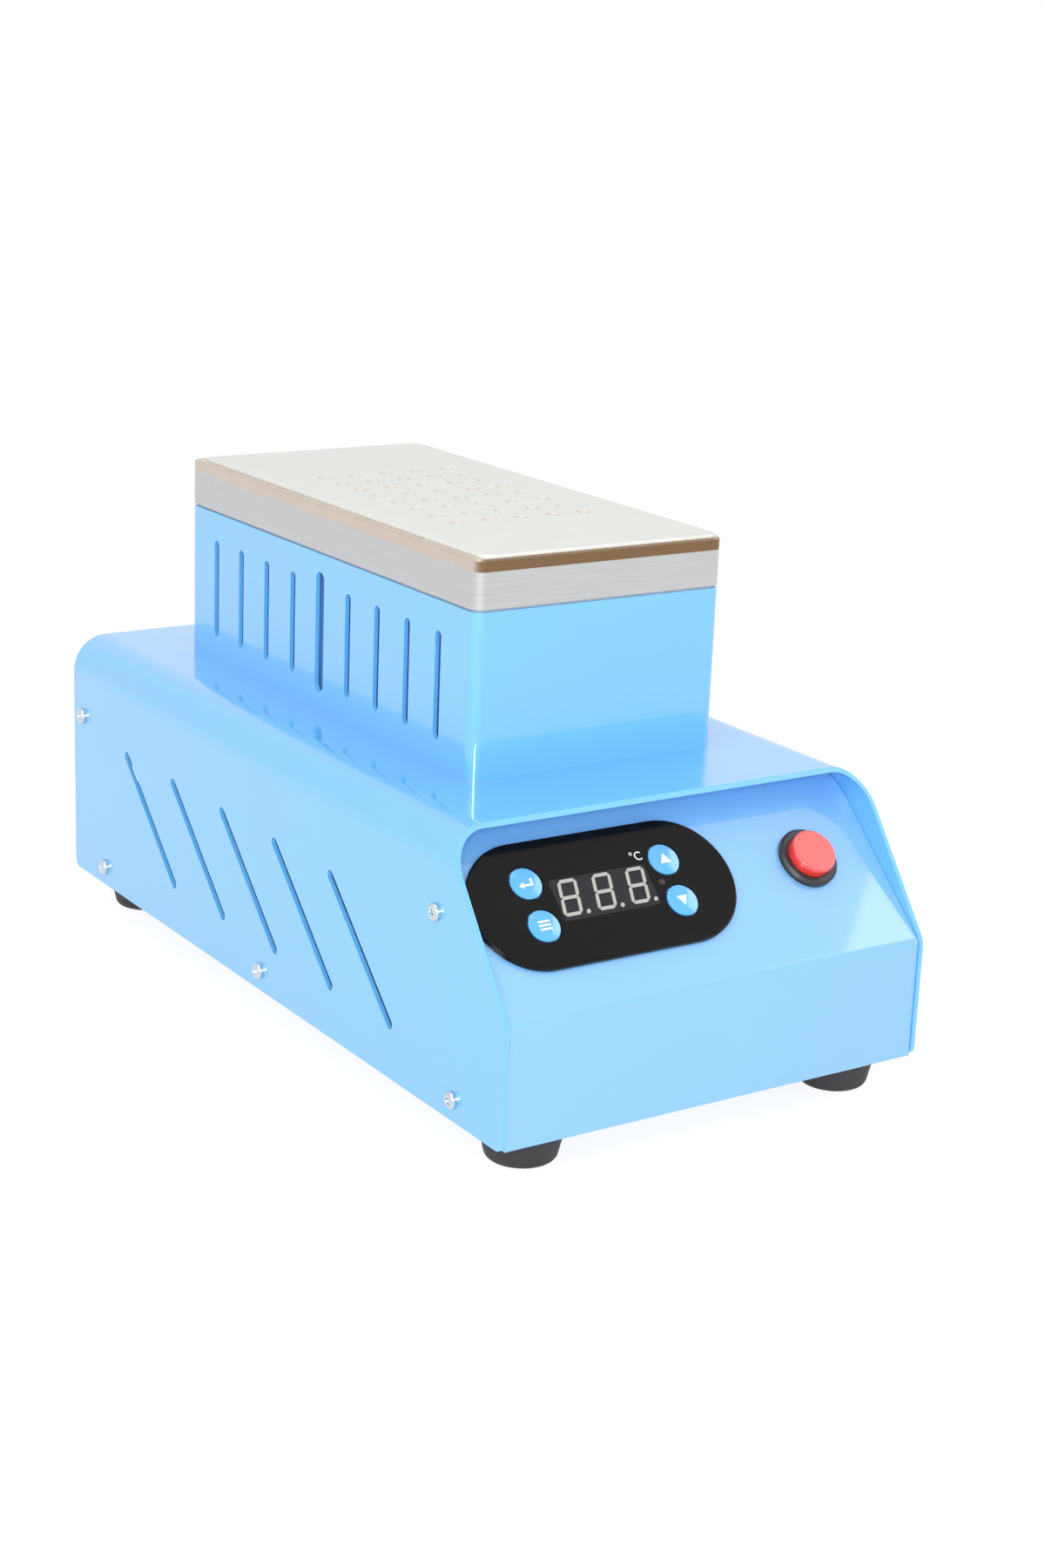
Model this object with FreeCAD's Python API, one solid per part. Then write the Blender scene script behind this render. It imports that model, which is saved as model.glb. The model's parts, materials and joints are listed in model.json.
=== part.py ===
import FreeCAD, Part
import math
import os

from FreeCAD import Placement, Rotation, Vector

# Heated vacuum plate for parting the glass from a flat display.
# Millimetres, +Z up, +Y to the rear, origin on the floor below the middle of the hood.

# Sheet-metal body
sheet = 1.5                 # thickness of the painted steel sheet
fit_gap = 0.2               # room between the hood and what it slides over
body_width = 160.0
body_length = 300.0
body_height = 89.5          # hood, from its lower edge to its top
foot_height = 13.0          # underside of the base tray above the floor
skirt_drop = 1.5            # how far the hood hangs below the tray
shoulder_radius = 13.0      # outer bend between the hood's top and walls
tray_bend = 2.5             # outer bend of the tray
tray_rim = 12.0             # height of the tray's upturned sides
tray_vent_count = 5         # slots in the tray below the pump's motor
tray_vent_pitch = 8.0
tray_vent_width = 3.0
tray_vent_length = 34.0

# Nose: the hood's front edge and the control panel set back behind it
upright_height = 39.5       # upright part of the front, above the hood's lower edge
nose_setback = 37.0         # how far the hood's front edge leans back at the top
nose_round = 8.0            # rounding of the bend in that edge
corner_round = 3.0          # rounding of the hood's lower corners
panel_recess = 0.6          # upright panel behind the hood's front edge
panel_lean = 47.0           # lean of the control panel, degrees from upright
panel_bend = 4.0            # outer bend between the upright and the leaning panel
panel_flange = 14.0         # panel's top flange below the hood
ear_start = 12.0            # panel's side ears, measured up the lean from the bend
ear_end = 49.0
ear_depth = 13.0

# Rear pan, set into the hood with its rim towards the rear
rear_recess = 14.0
rear_rim_gap = 1.0
rear_vent_count = 7
rear_vent_pitch = 8.0
rear_vent_width = 3.0
rear_vent_height = 34.0
rear_vent_x = -46.0

# Hood screws, from the hood's ends and its lower edge
screw_size = 3.0
screw_reach = 5.0           # length of shank below the head
screw_head = 5.6
screw_head_height = 2.0
hole_play = 0.1             # hole over shank, on the diameter
low_screw_inset = 27.0
low_screw_rise = 7.0
nose_screw_inset = 39.3
nose_screw_rise = 62.9
tail_screw_inset = 8.4
tail_screw_rise = 61.0

# Slanted slots in the hood's walls
wall_slot_count = 5
wall_slot_pitch = 37.6
wall_slot_width = 3.4
wall_slot_run = 38.6        # how far a slot leans to the front from top to bottom
wall_slot_low = 17.9        # lower end centre above the hood's lower edge
wall_slot_rise = 37.0       # height from the lower to the upper end centre
wall_slot_offset = 9.5      # middle slot behind the middle of the hood
baffle_gap = 5.0
baffle_sheet = 1.0
baffle_margin = 4.0         # past the slots at either end
baffle_headroom = 4.0       # above the slots
baffle_clear = 3.0          # lip below the hood's shoulder

# Tower and its inner shield
tower_width = 95.0
tower_length = 194.0
tower_height = 53.7
tower_setback = 74.0        # tower's front behind the hood's front edge
tower_radius = 4.0
tower_ledge = 15.0          # tower's inward flange on the hood
tower_lip = 9.0             # tower's inward flange under the block
tower_slots = 9
tower_slot_pitch = 19.0
tower_slot_width = 3.4
tower_slot_low = 8.7        # lower end of the slots above the hood
tower_slot_height = 35.2
wide_slot_width = 5.6
wide_slot_low = 6.1
wide_slot_height = 41.4
shield_gap = 3.0
shield_sheet = 1.0
shield_ledge = 10.0
shield_headroom = 1.0
tower_screw_size = 4.0
tower_screw_head = 7.5
tower_screw_head_height = 2.6
tower_screw_reach = 8.0
tower_screw_pitch = 70.0

# Hot plate stack, from the tower up
gasket_thickness = 0.8
gasket_inset = 1.0
block_thickness = 11.8
plate_thickness = 4.0
plate_chamfer = 0.6
mat_thickness = 1.0
mat_side_inset = 2.2
mat_end_inset = 2.4
mat_x = 1.0                 # mat laid a little off the plate's middle
mat_back = -1.4
mat_radius = 4.0
mat_edge = 0.4
hole_columns = 5
hole_rows = 8
hole_pitch = 12.5
field_x = 1.2               # field of holes from the tower's middle
field_back = -3.5
mat_hole = 5.0
plate_hole = 2.0
groove_width = 5.0
groove_depth = 3.0
seal_margin = 9.0           # seal ring outside the outer holes
seal_width = 3.0
seal_height = 1.5
plate_screw_size = 4.0
plate_screw_head = 8.0
plate_screw_reach = 7.0
plate_screw_inset = 8.0

# Heater pack clamped below the block
pack_margin = 2.5           # clear of the tower's lip
pack_radius = 4.0
heater_thickness = 2.0
insulation_thickness = 8.0
clamp_thickness = 1.5
clamp_inset = 14.0
clamp_reach = 7.0           # clamp screw in the block
probe_diameter = 6.0
probe_reach = 7.0
probe_length = 32.0
probe_offset = 52.0

# Vacuum line
stud_diameter = 9.5
stud_length = 6.0
fitting_hex = 13.0
fitting_hex_height = 5.0
stem_diameter = 5.0
stem_length = 24.0
stem_bore = 2.6
barb_rise = 0.5
barb_count = 3
barb_pitch = 4.0
hose_bore_play = 0.1
hose_wall = 1.8
hose_bend = 20.0
hose_grip = 13.0            # length of hose pushed over a stem

# Vacuum pump
pump_foot = 8.0             # height of the rubber mounts
pump_plate = 2.0            # bracket sheet
pump_axis_rise = 20.0       # shaft above the bracket's foot
motor_diameter = 38.0
motor_length = 58.0
motor_wall = 1.5
motor_cap = 4.0
shaft_diameter = 4.0
running_fit = 0.05
armature_diameter = 30.0
armature_length = 36.0
crank_radius = 6.0
crank_throw = 1.5
crank_width = 7.0
crank_clear = 0.4
rod_wall = 3.0
rod_stem = 7.0
case_width = 42.0
case_depth = 36.0
case_above = 24.0           # crankcase top above the shaft
case_below = 18.0
case_wall = 4.0
crank_space = 32.0
diaphragm_thickness = 1.5
diaphragm_bore = 22.0
head_thickness = 12.0
port_spacing = 20.0
port_length = 14.0
outlet_length = 5.0
mount_diameter = 12.0
mount_inset = 8.0
bracket_width = 62.0
pump_gap = 2.0              # bracket beside the supply board
motor_clear = 9.0           # motor ahead of the mains inlet's tails

# Supply board
board_thickness = 1.6
board_width = 58.0
board_length = 110.0
board_gap = 3.5             # board beside the left baffle
board_y = 6.0
board_rise = 8.0
board_inset = 5.0
post_diameter = 6.0
post_neck = 2.8
post_barb = 0.5
board_corner = 2.0
transformer_width = 30.0
transformer_length = 24.0
transformer_height = 24.0
transformer_y = 8.0
winding_diameter = 17.0
winding_length = 32.0
capacitor_diameter = 16.0
capacitor_height = 26.0
capacitor_edge = 1.0
capacitor_pitch = 22.0
capacitor_y = 38.0
terminal_count = 6
terminal_pitch = 7.6
terminal_depth = 11.0
terminal_height = 13.0
terminal_entry = 4.0
terminal_y = -38.0

# Thermostat on the control panel, placed by the middle of its pill-shaped face
pill_inset = 49.9           # from the panel's left edge
pill_drop = 35.0            # from the panel's top fold
pill_width = 96.0
pill_height = 43.0
pill_thickness = 1.8
pill_edge = 0.6
window_width = 35.8
window_height = 14.4
window_drop = 0.1           # window below the face
window_thickness = 1.6
window_play = 0.1
window_corner = 1.0
opening_width = 80.0        # opening in the panel behind the face
opening_height = 33.0
opening_radius = 10.0
case_play = 0.3
thermostat_wall = 1.5
thermostat_depth = 27.0
display_width = 37.7
display_height = 19.0
display_depth = 8.0
display_play = 0.1          # module behind the face
key_diameter = 10.6
key_play = 0.4              # gap round a key
key_rise = 0.6              # key above the face
key_collar = 13.0
key_dome = 24.0             # radius of a key's domed top
key_collar_thickness = 1.0
key_spacing_u = 51.2
key_spacing_v = 14.7
key_travel = 0.5
switch_side = 6.0
switch_height = 3.5
plunger_diameter = 3.4
plunger_play = 0.1
plunger_seat = 0.3          # plunger inside its switch at rest

# Start button
start_inset = 27.3          # from the panel's right edge
start_drop = 35.6           # from the panel's top fold
bezel_diameter = 20.6
bezel_height = 2.4
bezel_edge = 0.8
barrel_diameter = 18.0
barrel_depth = 22.0
cap_diameter = 15.5
cap_play = 0.15             # gap round the cap
cap_rise = 3.4              # cap above the bezel
cap_edge = 0.9
cap_collar = 16.4
cap_collar_thickness = 2.0
cap_guide = 3.0             # bezel's guide above the collar, below the panel's face
start_travel = 3.0
cap_stem = 6.0
contact_top = -14.0
tab_width = 4.8
tab_thickness = 0.8
tab_length = 7.0
nut_flats = 22.0
nut_thickness = 4.0

# Mains inlet and switch on the rear pan
inlet_x = 32.0
inlet_rise = 40.0           # middle above the tray
inlet_flange_width = 50.0
inlet_flange_height = 24.0
inlet_flange = 3.0
inlet_corner = 4.0
inlet_body_width = 28.0
inlet_body_height = 20.5
inlet_body_depth = 20.0
socket_width = 24.4
socket_height = 16.8
socket_corner = 4.5         # slanted upper corners of the socket
socket_depth = 19.0
pin_spacing = 14.0
pin_drop = 4.0
pin_width = 2.0
pin_height = 4.0
pin_tip = 4.6               # pin tips behind the flange's face
pin_tail = 8.0
inlet_screw_pitch = 40.0
inlet_screw_size = 3.0
inlet_screw_head = 5.6
inlet_screw_head_height = 1.8
inlet_screw_reach = 9.0
rocker_x = -8.0
rocker_flange_width = 15.0
rocker_flange_height = 23.0
rocker_flange = 2.0
rocker_body_depth = 14.0
rocker_width = 9.6
rocker_length = 16.4
rocker_wall = 1.2
rocker_play = 0.35
rocker_tilt = 10.0          # either way from the middle, degrees
rocker_height = 1.8         # ends above the flange, midway
rocker_dip = 0.7            # hollow between the ends
rocker_corner = 1.5
rocker_pivot_drop = 2.5     # pivot behind the flange's face
rocker_root = 6.0           # rocker behind its pivot
pivot_pin = 2.4

# Feet
foot_inset_x = 19.0
foot_inset_front = 17.7
foot_inset_rear = 22.0      # screws clear of the rear pan
foot_top = 28.0
foot_bottom = 22.0
foot_round = 2.5
foot_bore = 9.0
foot_bore_depth = 6.0
foot_screw_size = 4.0
foot_screw_head = 7.5
foot_screw_head_height = 2.6
foot_screw_grip = 4.0       # screw above the tray

# Levels and planes worked out from the sizes above
x_side = body_width / 2
x_inside = x_side - sheet - fit_gap
y_front = -body_length / 2
y_rear = body_length / 2
z_skirt = foot_height - skirt_drop
z_floor = foot_height + sheet
z_top = z_skirt + body_height
z_bend = z_skirt + upright_height
y_panel = y_front + panel_recess
y_pan = y_rear - rear_recess
tower_y = y_front + tower_setback + tower_length / 2
field_y = tower_y + field_back
z_tower = z_top + tower_height
z_block = z_tower + gasket_thickness
z_plate = z_block + block_thickness
z_mat = z_plate + plate_thickness
pack_width = tower_width - 2 * (sheet + tower_lip + pack_margin)
pack_length = tower_length - 2 * (sheet + tower_lip + pack_margin)
z_pack = z_block - heater_thickness - insulation_thickness - clamp_thickness
z_pump_foot = z_floor + pump_foot
z_shaft = z_pump_foot + pump_plate + pump_axis_rise
z_valves = z_shaft + case_above + diaphragm_thickness
board_x = -(x_side - sheet - baffle_gap - baffle_sheet - board_gap - board_width / 2)
pump_x = board_x + board_width / 2 + pump_gap + bracket_width / 2
pump_back = y_pan - inlet_body_depth - pin_tail - motor_clear - motor_length - pump_plate
pump_y = pump_back - case_depth / 2
pump_front = pump_y - case_depth / 2
hose_shift = pump_x - port_spacing / 2
lean = math.radians(panel_lean)
panel_rise = (z_top - sheet - fit_gap - z_bend) / math.cos(lean)
pill_u = pill_inset - x_inside
pill_v = panel_rise - pill_drop
start_u = x_inside - start_inset
start_v = panel_rise - start_drop
z_board = z_floor + board_rise
z_inlet = z_floor + inlet_rise
w_board = -display_play - display_depth

RIGHT = Vector(1, 0, 0)
REAR = Vector(0, 1, 0)
UP = Vector(0, 0, 1)
DOWN = Vector(0, 0, -1)
SIDES = (-1, 1)
PANEL = Placement(Vector(0, y_panel, z_bend), Rotation(RIGHT, 90 - panel_lean))
REAR_TURN = Rotation(Vector(-1, 0, 0), UP, REAR, "XYZ")


# Shape helpers

def box(x0, x1, y0, y1, z0, z1):
    return Part.makeBox(x1 - x0, y1 - y0, z1 - z0, Vector(x0, y0, z0))


def rod(diameter, length, start, direction=UP):
    return Part.makeCylinder(diameter / 2, length, start, direction)


def edges_along(shape, axis):
    """Straight edges parallel to an axis."""
    found = []
    for edge in shape.Edges:
        if not isinstance(edge.Curve, Part.Line):
            continue
        if edge.tangentAt(edge.FirstParameter).cross(axis).Length < 1e-6:
            found.append(edge)
    return found


def edges_at(shape, axis, **place):
    """Edges along an axis whose middle has the given coordinates."""
    found = []
    for edge in edges_along(shape, axis):
        middle = edge.CenterOfMass
        if all(abs(getattr(middle, name) - value) < 1e-4 for name, value in place.items()):
            found.append(edge)
    return found


def slab(width, length, radius, z0, z1, x=0.0, y=0.0):
    """Plate with rounded upright corners between two heights."""
    blank = box(x - width / 2, x + width / 2, y - length / 2, y + length / 2, z0, z1)
    return blank.makeFillet(radius, edges_along(blank, UP))


def side_prism(outline, x0, x1):
    """Solid with an outline of (y, z) points, from x0 to x1."""
    points = [Vector(x0, y, z) for y, z in outline]
    face = Part.Face(Part.makePolygon(points + points[:1]))
    return face.extrude(Vector(x1 - x0, 0, 0))


def slot(start, end, width, depth):
    """Round-ended slot between two end centres, as deep as the depth vector."""
    side = (end - start).cross(depth)
    side.Length = width / 2
    corners = [start + side, end + side, end - side, start - side]
    bar = Part.Face(Part.makePolygon(corners + corners[:1])).extrude(depth)
    ends = [rod(width, depth.Length, point, depth) for point in (start, end)]
    return bar.fuse(ends)


def turned(profile, start=Vector(0, 0, 0), direction=UP):
    """Solid of revolution from (radius, height) points about an axis."""
    points = [Vector(radius, 0, height) for radius, height in profile]
    face = Part.Face(Part.makePolygon(points + points[:1]))
    solid = face.revolve(Vector(0, 0, 0), UP, 360)
    solid.Placement = Placement(start, Rotation(UP, direction))
    return solid


def pan_screw(size, head, head_height, reach, seat, direction):
    """Screw with its head on a seat and its shank along a direction."""
    crown = head_height * 0.45
    profile = [
        (0, reach), (size / 2, reach), (size / 2, 0), (head / 2, 0),
        (head / 2, -head_height + crown), (head / 2 - crown, -head_height), (0, -head_height),
    ]
    return turned(profile, seat, direction)


def hexagon(flats, z0, z1, x=0.0, y=0.0):
    """Six-sided bar between two heights."""
    radius = flats / math.sqrt(3)
    turn = math.pi / 3
    points = [Vector(x + radius * math.cos(i * turn), y + radius * math.sin(i * turn), z0) for i in range(7)]
    return Part.Face(Part.makePolygon(points)).extrude(Vector(0, 0, z1 - z0))


def tunnel(inset, y0, y1, z0):
    """The hood's outer form, drawn in from its walls and top."""
    blank = box(-x_side + inset, x_side - inset, y0, y1, z0, z_top - inset)
    return blank.makeFillet(shoulder_radius - inset, edges_at(blank, REAR, z=z_top - inset))


def on_panel(shape):
    """Move a shape from the panel's own frame (across, up the lean, outwards) to its place."""
    placed = shape.copy()
    placed.Placement = PANEL.multiply(placed.Placement)
    return placed


def at_rear(shape, x):
    """Move a shape from the rear face's own frame (across, up, outwards) to the row of connectors."""
    placed = shape.copy()
    placed.Placement = Placement(Vector(x, y_pan, z_inlet), REAR_TURN).multiply(placed.Placement)
    return placed


def group(solids):
    return Part.makeCompound(solids)


def export(node, shape):
    shape.exportStep("parts/%s.step" % node)


# Places shared by several pieces

def hood_screw_places():
    """(y, z) of the screws in each wall of the hood."""
    low = z_skirt + low_screw_rise
    return [
        (y_front + low_screw_inset, low), (0.0, low), (y_rear - low_screw_inset, low),
        (y_front + nose_screw_inset, z_skirt + nose_screw_rise),
        (y_rear - tail_screw_inset, z_skirt + tail_screw_rise),
    ]


def wall_screw_holes():
    holes = []
    for y, z in hood_screw_places():
        holes.append(rod(screw_size + hole_play, body_width, Vector(-x_side, y, z), RIGHT))
    return holes


def wall_slot_places():
    """Lower and upper end centres of the slanted slots, as (y, z) pairs."""
    places = []
    low = z_skirt + wall_slot_low
    for index in range(wall_slot_count):
        middle = wall_slot_offset + (index - (wall_slot_count - 1) / 2) * wall_slot_pitch
        places.append(((middle - wall_slot_run / 2, low), (middle + wall_slot_run / 2, low + wall_slot_rise)))
    return places


def tower_screw_places():
    x = tower_width / 2 - sheet - shield_gap - shield_sheet - shield_ledge / 2
    return [(side * x, tower_y + step * tower_screw_pitch) for side in SIDES for step in (-1, 0, 1)]


def hole_places():
    """Centres of the suction holes."""
    places = []
    for column in range(hole_columns):
        for row in range(hole_rows):
            x = field_x + (column - (hole_columns - 1) / 2) * hole_pitch
            y = field_y + (row - (hole_rows - 1) / 2) * hole_pitch
            places.append((x, y))
    return places


def plate_screw_places():
    x = tower_width / 2 - plate_screw_inset
    y = tower_length / 2 - plate_screw_inset
    return [(side * x, tower_y + step * y) for side in SIDES for step in (-1, 0, 1)]


def clamp_screw_places():
    x = pack_width / 2 - clamp_inset
    y = pack_length / 2 - clamp_inset
    return [(i * x, tower_y + j * y) for i in SIDES for j in SIDES]


def foot_places():
    """Names and centres of the feet."""
    x = x_side - foot_inset_x
    front = y_front + foot_inset_front
    rear = y_rear - foot_inset_rear
    return {
        "foot_front_left": (-x, front), "foot_front_right": (x, front),
        "foot_rear_left": (-x, rear), "foot_rear_right": (x, rear),
    }


def pump_mount_places():
    x = bracket_width / 2 - mount_inset
    y = case_depth / 2 - mount_inset
    return [(pump_x + i * x, pump_y + j * y) for i in SIDES for j in SIDES]


def board_post_places():
    x = board_width / 2 - board_inset
    y = board_length / 2 - board_inset
    return [(board_x + i * x, board_y + j * y) for i in SIDES for j in SIDES]


def key_places():
    """Names and centres of the keys on the panel."""
    left = pill_u - key_spacing_u / 2
    right = pill_u + key_spacing_u / 2
    low = pill_v - key_spacing_v / 2
    high = pill_v + key_spacing_v / 2
    return {
        "key_enter": (left, high), "key_set": (left, low),
        "key_up": (right, high), "key_down": (right, low),
    }


# Body

def make_hood():
    """Folded cover: two walls and the top, cut back to the sloping nose."""
    hollow = tunnel(sheet, y_front - sheet, y_rear + sheet, z_skirt - sheet)
    hood = tunnel(0, y_front, y_rear, z_skirt).cut(hollow)
    rise = z_top - z_bend
    nose = [(y_front, z_bend), (y_front + 2 * nose_setback, z_bend + 2 * rise),
            (y_front - sheet, z_bend + 2 * rise), (y_front - sheet, z_bend)]
    hood = hood.cut(side_prism(nose, -x_side, x_side))
    hood = hood.makeFillet(nose_round, edges_at(hood, RIGHT, y=y_front, z=z_bend))
    lower = edges_at(hood, RIGHT, y=y_front, z=z_skirt) + edges_at(hood, RIGHT, y=y_rear, z=z_skirt)
    hood = hood.makeFillet(corner_round, lower)
    opening = slab(tower_width - 2 * tower_ledge, tower_length - 2 * tower_ledge, tower_radius,
                   z_top - 2 * sheet, z_top + sheet, 0, tower_y)
    cuts = [opening] + wall_screw_holes()
    for (y0, z0), (y1, z1) in wall_slot_places():
        start = Vector(-x_side - sheet, y0, z0)
        end = Vector(-x_side - sheet, y1, z1)
        cuts.append(slot(start, end, wall_slot_width, Vector(body_width + 2 * sheet, 0, 0)))
    for x, y in tower_screw_places():
        cuts.append(rod(tower_screw_size + hole_play, 4 * sheet, Vector(x, y, z_top - 2 * sheet)))
    return hood.cut(cuts)


def make_base_tray():
    """Floor of the body with its sides turned up inside the hood's walls."""
    front = y_panel + sheet
    back = y_rear - rear_rim_gap
    rim_end = y_pan - 2 * sheet
    blank = box(-x_inside, x_inside, front, back, foot_height, foot_height + tray_rim)
    blank = blank.makeFillet(tray_bend, edges_at(blank, REAR, z=foot_height))
    hollow = box(-x_inside + sheet, x_inside - sheet, front + sheet, back + sheet,
                 z_floor, z_floor + tray_rim)
    hollow = hollow.makeFillet(tray_bend - sheet, edges_at(hollow, REAR, z=z_floor))
    rear_clear = box(-x_side, x_side, rim_end, back + sheet, z_floor, z_floor + tray_rim)
    cuts = [hollow, rear_clear] + wall_screw_holes()
    for x, y in foot_places().values():
        cuts.append(rod(foot_screw_size + hole_play, 4 * sheet, Vector(x, y, foot_height - sheet)))
    for index in range(tray_vent_count):
        x = pump_x + (index - (tray_vent_count - 1) / 2) * tray_vent_pitch
        start = Vector(x, pump_back + motor_length - tray_vent_length, foot_height - sheet)
        cuts.append(slot(start, start + REAR * tray_vent_length, tray_vent_width, UP * 4 * sheet))
    return blank.cut(cuts)


def panel_sheet(offset):
    """(y, z) corners of the front panel's line, offset inwards from its outer face."""
    top = z_top - sheet - fit_gap - offset
    inner_bend = z_bend - offset * math.tan(lean / 2)
    climb = (top - z_bend + offset * math.sin(lean)) / math.cos(lean)
    crest = y_panel + offset * math.cos(lean) + climb * math.sin(lean)
    return [(y_panel + offset, z_skirt), (y_panel + offset, inner_bend), (crest, top)]


def make_front_panel():
    """Upright and leaning panel in one folded sheet, with side ears and a top flange."""
    outer = panel_sheet(0)
    inner = panel_sheet(sheet)
    flange_end = outer[2][0] + panel_flange
    outline = outer + [(flange_end, outer[2][1]), (flange_end, inner[2][1])] + inner[::-1]
    panel = side_prism(outline, -x_inside, x_inside)
    panel = panel.makeFillet(panel_bend, edges_at(panel, RIGHT, y=outer[1][0], z=outer[1][1]))
    panel = panel.makeFillet(panel_bend - sheet, edges_at(panel, RIGHT, y=inner[1][0], z=inner[1][1]))
    ears = []
    for side in SIDES:
        x0, x1 = sorted((side * x_inside, side * (x_inside - sheet)))
        ears.append(on_panel(box(x0, x1, ear_start, ear_end, -ear_depth, -sheet / 2)))
    panel = panel.fuse(ears).common(tunnel(sheet + fit_gap, y_front, y_rear, z_skirt)).removeSplitter()
    opening = slab(opening_width, opening_height, opening_radius, -2 * sheet, sheet, pill_u, pill_v)
    barrel = rod(barrel_diameter + hole_play, 3 * sheet, Vector(start_u, start_v, -2 * sheet))
    return panel.cut([on_panel(opening), on_panel(barrel)] + wall_screw_holes())


def make_rear_panel():
    """Shallow pan set into the hood's rear, with vents and holes for the inlet and switch."""
    inset = sheet + fit_gap
    pan = tunnel(inset, y_pan - sheet, y_rear - rear_rim_gap, z_floor)
    pan = pan.cut(tunnel(inset + sheet, y_pan, y_rear, z_floor + sheet))
    cuts = wall_screw_holes()
    reach = 4 * sheet
    for index in range(rear_vent_count):
        x = rear_vent_x + (index - (rear_vent_count - 1) / 2) * rear_vent_pitch
        start = Vector(x, y_pan - 2 * sheet, z_inlet - rear_vent_height / 2)
        cuts.append(slot(start, start + UP * rear_vent_height, rear_vent_width, REAR * reach))
    inlet = box(-inlet_body_width / 2, inlet_body_width / 2, -inlet_body_height / 2, inlet_body_height / 2,
                -reach, reach)
    cuts.append(at_rear(inlet, inlet_x))
    width = rocker_width + 2 * (rocker_play + rocker_wall)
    length = rocker_length + 2 * (rocker_play + rocker_wall)
    cuts.append(at_rear(box(-width / 2, width / 2, -length / 2, length / 2, -reach, reach), rocker_x))
    for side in SIDES:
        screw = rod(inlet_screw_size + hole_play, 2 * reach, Vector(side * inlet_screw_pitch / 2, 0, -reach))
        cuts.append(at_rear(screw, inlet_x))
    return pan.cut(cuts)


# Baffles, tower and shield

def make_vent_baffle(side):
    """Folded strip behind a wall's slots, standing on the tray and lipped onto the wall."""
    wall = x_side - sheet
    top = wall_slot_places()[0][1][1] + wall_slot_width / 2 + baffle_headroom
    y0 = wall_slot_places()[0][0][0] - baffle_margin
    y1 = wall_slot_places()[-1][1][0] + baffle_margin
    inner = wall - baffle_gap - baffle_sheet
    pieces = [
        box(inner, inner + baffle_sheet, y0, y1, z_floor, top),
        box(inner, wall, y0, y1, top - baffle_sheet, top),
        box(wall - baffle_sheet, wall, y0, y1, top - baffle_sheet, z_top - shoulder_radius - baffle_clear),
    ]
    strip = pieces[0].fuse(pieces[1:]).removeSplitter()
    if side < 0:
        strip = strip.mirror(Vector(0, 0, 0), RIGHT)
    return strip


def tower_slab(inset, radius, z0, z1):
    """Rounded slab on the tower's outline, drawn in all round."""
    return slab(tower_width - 2 * inset, tower_length - 2 * inset, radius, z0, z1, 0, tower_y)


def make_tower():
    """Sleeve with inward flanges at foot and top and a row of slots in each long wall."""
    tower = tower_slab(0, tower_radius, z_top, z_tower)
    cuts = [
        tower_slab(sheet, tower_radius - sheet, z_top + sheet, z_tower - sheet),
        tower_slab(tower_ledge, tower_radius, z_top - sheet, z_top + 2 * sheet),
        tower_slab(sheet + tower_lip, tower_radius, z_tower - 2 * sheet, z_tower + sheet),
    ]
    for index in range(tower_slots):
        step = index - (tower_slots - 1) // 2
        width, low, height = tower_slot_width, tower_slot_low, tower_slot_height
        if step == 0:
            width, low, height = wide_slot_width, wide_slot_low, wide_slot_height
        start = Vector(-tower_width / 2 - sheet, tower_y + step * tower_slot_pitch, z_top + low + width / 2)
        cuts.append(slot(start, start + UP * (height - width), width, RIGHT * (tower_width + 2 * sheet)))
    for x, y in tower_screw_places():
        cuts.append(rod(tower_screw_size + hole_play, 4 * sheet, Vector(x, y, z_top - sheet)))
    return tower.cut(cuts)


def make_heat_shield():
    """Inner wall behind the tower's slots, flanged onto the tower's foot."""
    inset = sheet + shield_gap
    foot = z_top + sheet
    top = z_tower - sheet - shield_headroom
    shield = tower_slab(inset, tower_radius, foot, top)
    cuts = [
        tower_slab(inset + shield_sheet, tower_radius - shield_sheet,
                   foot + shield_sheet, top + shield_sheet),
        tower_slab(inset + shield_ledge, tower_radius, foot - sheet, foot + 2 * shield_sheet),
    ]
    for x, y in tower_screw_places():
        cuts.append(rod(tower_screw_size + hole_play, 4 * sheet, Vector(x, y, foot - sheet)))
    return shield.cut(cuts)


def make_tower_screws():
    seat = z_top + sheet + shield_sheet
    screws = []
    for x, y in tower_screw_places():
        screws.append(pan_screw(tower_screw_size, tower_screw_head, tower_screw_head_height,
                                tower_screw_reach, Vector(x, y, seat), DOWN))
    return group(screws)


# Hot plate

def make_block_gasket():
    ring = tower_slab(gasket_inset, tower_radius - gasket_inset, z_tower, z_block)
    return ring.cut(tower_slab(sheet + tower_lip, tower_radius, z_tower - sheet, z_block + sheet))


def seal_ring(play):
    """Ring round the field of holes, let into the top of the block."""
    width = (hole_columns - 1) * hole_pitch + 2 * seal_margin
    length = (hole_rows - 1) * hole_pitch + 2 * seal_margin
    inner = seal_width - play / 2
    outer = slab(width - play, length - play, seal_margin, z_plate - seal_height, z_plate, field_x, field_y)
    return outer.cut(slab(width - 2 * inner, length - 2 * inner, seal_margin - seal_width,
                          z_plate - seal_height, z_plate, field_x, field_y))


def countersunk(x, y, play):
    """Flat-headed screw from the top of the suction plate into the block."""
    head = (plate_screw_head + play) / 2
    shank = (plate_screw_size + play) / 2
    bottom = -plate_thickness - plate_screw_reach - play
    profile = [(0, 0), (head, 0), (shank, shank - head), (shank, bottom), (0, bottom)]
    return turned(profile, Vector(x, y, z_mat))


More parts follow.
